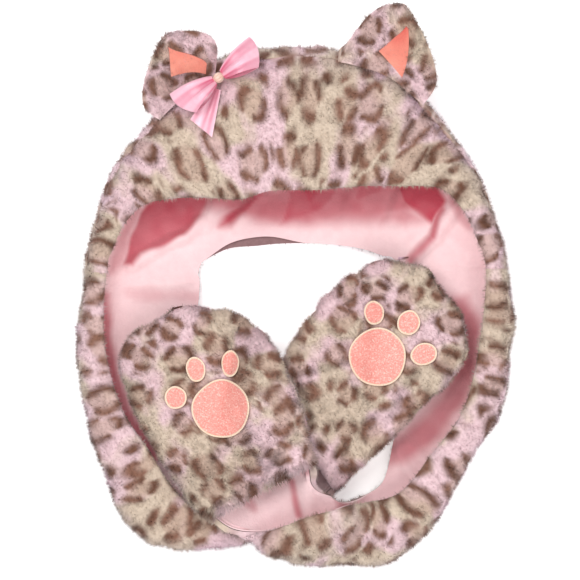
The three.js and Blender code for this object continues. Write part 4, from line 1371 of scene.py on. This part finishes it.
# The coral thread's colour varies along a fine noise, and its palest, near-white stop is painted glint.
CORAL_THREAD = dyed_cloth(
    "coral_thread",
    (0.5, 0.2, 0.5, 0.5),
    GLINT_SPECK,
    [(0.34, "EE8A80"), (0.56, "F9A89C"), (0.66, "FFDCCF")],
    GLINT_SPECK,
    0.5,
    0.001,
)
CREAM_THREAD = dyed_cloth(
    "cream_thread", (0.5, 0.15, 0.5, 0.5), (1200, 2), [(0.35, "F6D3B4"), (0.7, "FFEBD8")]
)
BORDER, BORDER_LIFT, STITCHES_PER_MM, STITCH_RIBS = 1.5, 1.7, 1.1, 0.16
PAD_LIFT, PALM_FLAT = 0.9, 0.05


def pad(name, place, tops, flat_side=0.0):
    """A disc of rings: x and y on an ellipse, height from the pile under it plus a dome 1 - r^4. The border
    is a tube round its rim whose radius pulses with each stitch."""
    centre, wide, long, turn = place

    def at(radius, angle, up):
        """Points at a share of the radius and an angle, that far above the pile. Two slow waves in the
        angle keep the ellipse from being perfect."""
        shape = 1 + 0.012 * np.sin(3 * angle + wide) + 0.01 * np.sin(5 * angle)
        shape = shape - flat_side * bump(angle, np.radians(140), 0.9)
        a, b = wide * radius * np.cos(angle) * shape, long * radius * np.sin(angle) * shape
        x = centre[0] + a * np.cos(turn) - b * np.sin(turn)
        y = centre[1] + a * np.sin(turn) + b * np.cos(turn)
        return np.stack([x, y, tops(x, y) + up], axis=-1)

    rings, sides = (22, 120) if wide > 15 else (14, 84)
    r = np.sqrt(np.linspace(0, 1, rings))[:, None]
    angle = np.linspace(0, 2 * np.pi, sides, endpoint=False)[None, :]
    top = at(r, angle, PAD_GAP + PAD_LIFT + PAD_THICK * (1 - 0.5 * r**4))
    top[..., 2] += 0.16 * noise(top, 1.7, 301)
    points = np.concatenate([top.reshape(-1, 3), at(r, angle, PAD_GAP).reshape(-1, 3)])
    number = np.arange(rings * sides).reshape(rings, sides)
    below = number + number.size
    faces = [band_quads(number), band_quads(below)[:, ::-1], band_quads(np.stack([number[-1], below[-1]]))]
    disc = make_mesh(name + "_thread", points, np.concatenate(faces), 4)
    stitches = int(2 * np.pi * np.sqrt((wide**2 + long**2) / 2) * STITCHES_PER_MM)
    angle = np.linspace(0, 2 * np.pi, 3 * stitches, endpoint=False)[None, :]
    tilt = np.linspace(0, 2 * np.pi, 8, endpoint=False)[:, None]
    thick = BORDER / 2 * (1 + STITCH_RIBS * np.cos(stitches * angle))
    radius = 1 + (thick * np.cos(tilt) * 1.15) / ((wide + long) / 2)
    tube = at(radius, angle, PAD_GAP + BORDER_LIFT + thick * np.sin(tilt))
    number = np.arange(tilt.size * angle.size).reshape(tilt.size, angle.size)
    closed = np.concatenate([number, number[:1]])
    border = make_mesh(name + "_border", tube.reshape(-1, 3), band_quads(closed)[:, [0, 3, 2, 1]], 4)
    dress(disc, CORAL_THREAD, "pad", name)
    dress(border, CREAM_THREAD, "pad")


def pad_name(side, k):
    """The first pad is the palm's, and the others are the toes'."""
    return f"toe_pad_{side}_{k}" if k else f"palm_pad_{side}"


for k in range(len(left_pads)):
    for side, (places, tops) in MITTENS.items():
        pad(pad_name(side, k), places[k], tops, PALM_FLAT if (side, k) == ("right", 0) else 0.0)
print("pads made:", len(left_pads), "on each mitten")

# %% [markdown]
# ## The satin bow
#
# A ribbon folded into two loops with a knot round the middle and one short tail. Each loop is one band:
# its line runs out along the lower ply and back along the upper one, and pleats fan out from the knot. A
# cloth simulation could gather a real ribbon, but formulas keep the loops where the plain solids have them.

# %% Bow
BOW_PLACE, BOW_TURN, BOW_TAIL_TURN, BOW_CLEAR, BOW_UPRIGHT = (4.42, 0.245), 36, -146, 6.5, 0.75
BOW_SATIN, PLEAT_DEPTH = 0.9, 1.9
SATIN_LIGHT, SATIN_SHADED = linear("FBC6D6"), linear("D4607F")
SATIN_THREADS = (1800, 2)
PINK_SATIN = printed_cloth(
    "pink_satin",
    (0.32, 0.35, 0.3, 0.6),
    (260, 3, 0.6),
    (0.93, 0.91, 0.92),
    (1.02, 1.02, 1.02),
    SATIN_THREADS,
    0.12,
    0.0006,
)
PEACH_SATIN = dyed_cloth(
    "peach_satin",
    (0.4, 0.3, 0.3, 0.5),
    (300, 3),
    [(0.3, "EBC0AC"), (0.7, "F8DCCB")],
    SATIN_THREADS,
    0.12,
    0.0006,
)


# %% Place and directions of the bow
def bow_frame():
    """Origin, and the three directions of the bow: along it, across it and away from the hood."""
    s, v = np.array(LEFT_SEAM + 1 + BOW_PLACE[0]), np.array(BOW_PLACE[1])
    up = unit(mix(normals(hood_surface, s, v), np.array([0, 0, 1.0]), BOW_UPRIGHT))
    turn = np.radians(BOW_TURN)
    side = unit(np.cross(up, [np.cos(turn), np.sin(turn), 0]))
    return hood_surface(s, v) + up * (FUR + BOW_CLEAR), np.stack([np.cross(side, up), side, up])


BOW_ORIGIN, BOW_AXES = bow_frame()


# %% Pleats, loops and tail
def pleat_waves(y_share, seed):
    """Waves across the ribbon: one and a half of them, and half as high ones at about twice the pace."""
    slow = np.cos(2 * np.pi * (1.5 * y_share + seed))
    return slow + 0.5 * np.cos(2 * np.pi * (3.1 * y_share + 2 * seed))


def pleats(y_share, open_share, seed):
    """Folds that fan out from the knot: deep beside it and gone at the loop's end."""
    fade = (1 - open_share) ** 0.8
    return PLEAT_DEPTH * pleat_waves(y_share, seed) * fade * np.minimum(1, 0.25 + open_share)


def satin_painted_shade(y_share, open_share, seed):
    """Painted shade: deeper pink in the valleys of the pleats and beside the knot."""
    valley = smooth(0.35, -0.9, pleat_waves(y_share, seed))
    deep = 0.75 * valley * (1 - 0.45 * open_share) + 0.35 * (1 - open_share) ** 2
    return mix(SATIN_LIGHT, SATIN_SHADED, np.clip(deep, 0, 1)[..., None])


def loop_points(way, s, v):
    """Out and back along the loop: the distance from the knot follows half of 1 + cos, the width fans out
    and the two plies stand apart by the loop's puff."""
    turn = np.pi * (2 * s - 1)
    share = 0.5 * (1 + np.cos(turn))
    x = KNOT / 2 - 2.2 + BOW_LOOP * share * (0.9 + 0.22 * (v - 0.5) - 0.1 * (2 * v - 1) ** 2)
    y = RIBBON * (v - 0.5) * mix(0.26, 0.92, share**0.7)
    ply = 0.5 - 0.5 * np.sin(turn) * np.sin(np.pi * np.clip(share, 0, 1)) ** 0.5
    z = BOW_PUFF * ply + 2.2 * np.cos(2 * np.pi * v) * share * (1 - share)
    z = z + 1.6 * np.sign(-np.sin(turn)) * (1 - share) ** 2 + pleats(v + 0.1 * way, share, 0.2 * way)
    return np.stack([way * x, y, z], axis=-1)


def tail_points(turn_deg, s, v):
    """A short free end: it widens from the knot to its slanted cut, waves once and lies on the pile."""
    turn = np.radians(turn_deg)
    out = KNOT / 2 + 1.5 + (BOW_TAIL + 8 * (v - 0.5)) * s
    side = RIBBON * (v - 0.5) * mix(0.3, 0.8, s)
    x, y = out * np.cos(turn) - side * np.sin(turn), out * np.sin(turn) + side * np.cos(turn)
    wave = (0.5 + 0.8 * (1 - s)) * np.cos(2 * np.pi * 1.5 * v) * np.minimum(1, 2 * s)
    return np.stack([x, y, -2.6 + 0.9 * np.sin(2.4 * s) + wave], axis=-1)


# %% Ribbon bands
def ribbon(name, points, node_name, colours):
    """A thin band of satin between two skins, turned from the bow's own directions into the hood's."""
    away = grid_normals(points)
    top, bottom = points + away * BOW_SATIN / 2, points - away * BOW_SATIN / 2
    top, bottom = (skin @ BOW_AXES + BOW_ORIGIN for skin in (top, bottom))
    return dress(cloth(name, top, bottom, colours), PINK_SATIN, "ribbon", node_name)


s, v = np.meshgrid(np.linspace(0, 1, 65), np.linspace(0, 1, 29), indexing="ij")
loop_share = 0.5 - 0.5 * np.cos(2 * np.pi * s)
for side, way in (("left", -1), ("right", 1)):
    shades = satin_painted_shade(v + 0.1 * way, loop_share, 0.2 * way)
    ribbon(f"bow_loop_{side}_satin", loop_points(way, s, v), f"bow_loop_{side}", shades)
ribbon("bow_tail_satin", tail_points(BOW_TAIL_TURN, s, v), "bow_tail", satin_painted_shade(v, 0.3 + 0.7 * s, 0.5))


# %% Knot
def knot_points():
    """An egg round the ribbon's middle, with creases running across it."""
    tilt = np.linspace(0, np.pi, 33)[:, None]
    angle = np.linspace(0, 2 * np.pi, 49)[None, :]
    crease = 1 + 0.05 * np.cos(7 * angle) * np.sin(tilt) + 0.03 * np.cos(12 * angle + 1) * np.sin(tilt)
    x = KNOT * 0.36 * np.cos(tilt) + 0 * angle
    y = RIBBON * 0.15 * np.sin(tilt) * np.cos(angle) * crease
    z = BOW_PUFF * 0.45 * np.sin(tilt) * np.sin(angle) * crease + BOW_PUFF / 2
    return np.stack([x, y, z], axis=-1)[:, :-1]


knot = knot_points()
rows, columns = knot.shape[:2]
number = np.arange(1, (rows - 2) * columns + 1).reshape(rows - 2, columns)
beside = np.roll(number, -1, axis=1)
last = (rows - 2) * columns + 1
sides = band_quads(number)
start_cap = np.stack([np.zeros(columns, int), number[0], beside[0]], axis=-1)
end_cap = np.stack([np.full(columns, last), beside[-1], number[-1]], axis=-1)
triangles = np.concatenate([sides[:, [0, 1, 2]], sides[:, [0, 2, 3]], start_cap, end_cap])
knot_all = np.concatenate([knot[0, :1], knot[1:-1].reshape(-1, 3), knot[-1, :1]]) @ BOW_AXES + BOW_ORIGIN
dress(make_mesh("bow_knot_satin", knot_all, triangles, 3), PEACH_SATIN, "ribbon", "bow_knot")
print("bow made, knot of", len(triangles), "triangles")

# %% [markdown]
# ## The cuts of cloth
#
# Each piece of cloth was flat before it was sewn, and the cuts taper. A stitched pad is an ellipse of
# thread.

# %% [markdown]
# ## Floor, light and camera
#
# The photograph looks straight down on the hood on a white table, in soft light from above with a little
# more from the crown's side. A long lens far above keeps the perspective as flat as it is there.

# %% Stage
FRAME_MM, CENTRE_X, CENTRE_Y, CAMERA_HEIGHT, SUBJECT_HEIGHT = 493.0, -4.35, 0.37, 2600.0, 40.0
LIT_POINT, SENSOR_WIDTH = (0, 0, 0.04), 36.0


def area_light(name, place, size, watts):
    """A square softbox at a place in metres, turned to the middle of the hood."""
    data = bpy.data.lights.new(name, "AREA")
    data.shape, data.size, data.energy = "SQUARE", size, watts
    light = bpy.data.objects.new(name, data)
    light.location = place
    light.rotation_euler = (Vector(LIT_POINT) - Vector(place)).to_track_quat("-Z", "Y").to_euler()
    bpy.context.scene.collection.objects.link(light)


floor_mesh = bpy.data.meshes.new("floor")
floor_mesh.from_pydata([(-4, -4, 0), (4, -4, 0), (4, 4, 0), (-4, 4, 0)], [], [(0, 1, 2, 3)])
floor = bpy.data.objects.new("floor", floor_mesh)
bpy.context.scene.collection.objects.link(floor)
white, tree, shader = new_material("white_table", 0.9, specular=0.1)
shader.inputs["Base Color"].default_value = (0.97, 0.97, 0.97, 1)
shader.inputs["Emission Color"].default_value = (1, 1, 1, 1)
shader.inputs["Emission Strength"].default_value = 0.42
floor_mesh.materials.append(white)
floor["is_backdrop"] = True

world = bpy.data.worlds.new("studio")
bpy.context.scene.world = world
world.use_nodes = True
world.node_tree.nodes["Background"].inputs["Color"].default_value = (1, 1, 1, 1)
world.node_tree.nodes["Background"].inputs["Strength"].default_value = 0.46
area_light("key", (-0.4, 0.45, 1.45), 0.8, 12.5)
area_light("fill", (0.55, -0.75, 1.35), 1.3, 12.5)

camera_data = bpy.data.cameras.new("camera")
camera_data.lens = SENSOR_WIDTH * (CAMERA_HEIGHT - SUBJECT_HEIGHT) / FRAME_MM
camera = bpy.data.objects.new("camera", camera_data)
camera.location = (CENTRE_X * MM, CENTRE_Y * MM, CAMERA_HEIGHT * MM)
camera_data.clip_end = 50
bpy.context.scene.collection.objects.link(camera)
bpy.context.scene.camera = camera
bpy.context.scene.view_settings.view_transform = "Standard"
print(f"camera: {camera_data.lens:.0f} mm lens, {CAMERA_HEIGHT / 1000} m above the table")

# %% Check and finish
visual_box = [list(corner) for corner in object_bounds()]
for low, high, cad_low, cad_high in zip(*visual_box, *cad_box):
    print(f"side {1000 * (high - low):.1f} mm, solid {1000 * (cad_high - cad_low):.1f} mm")
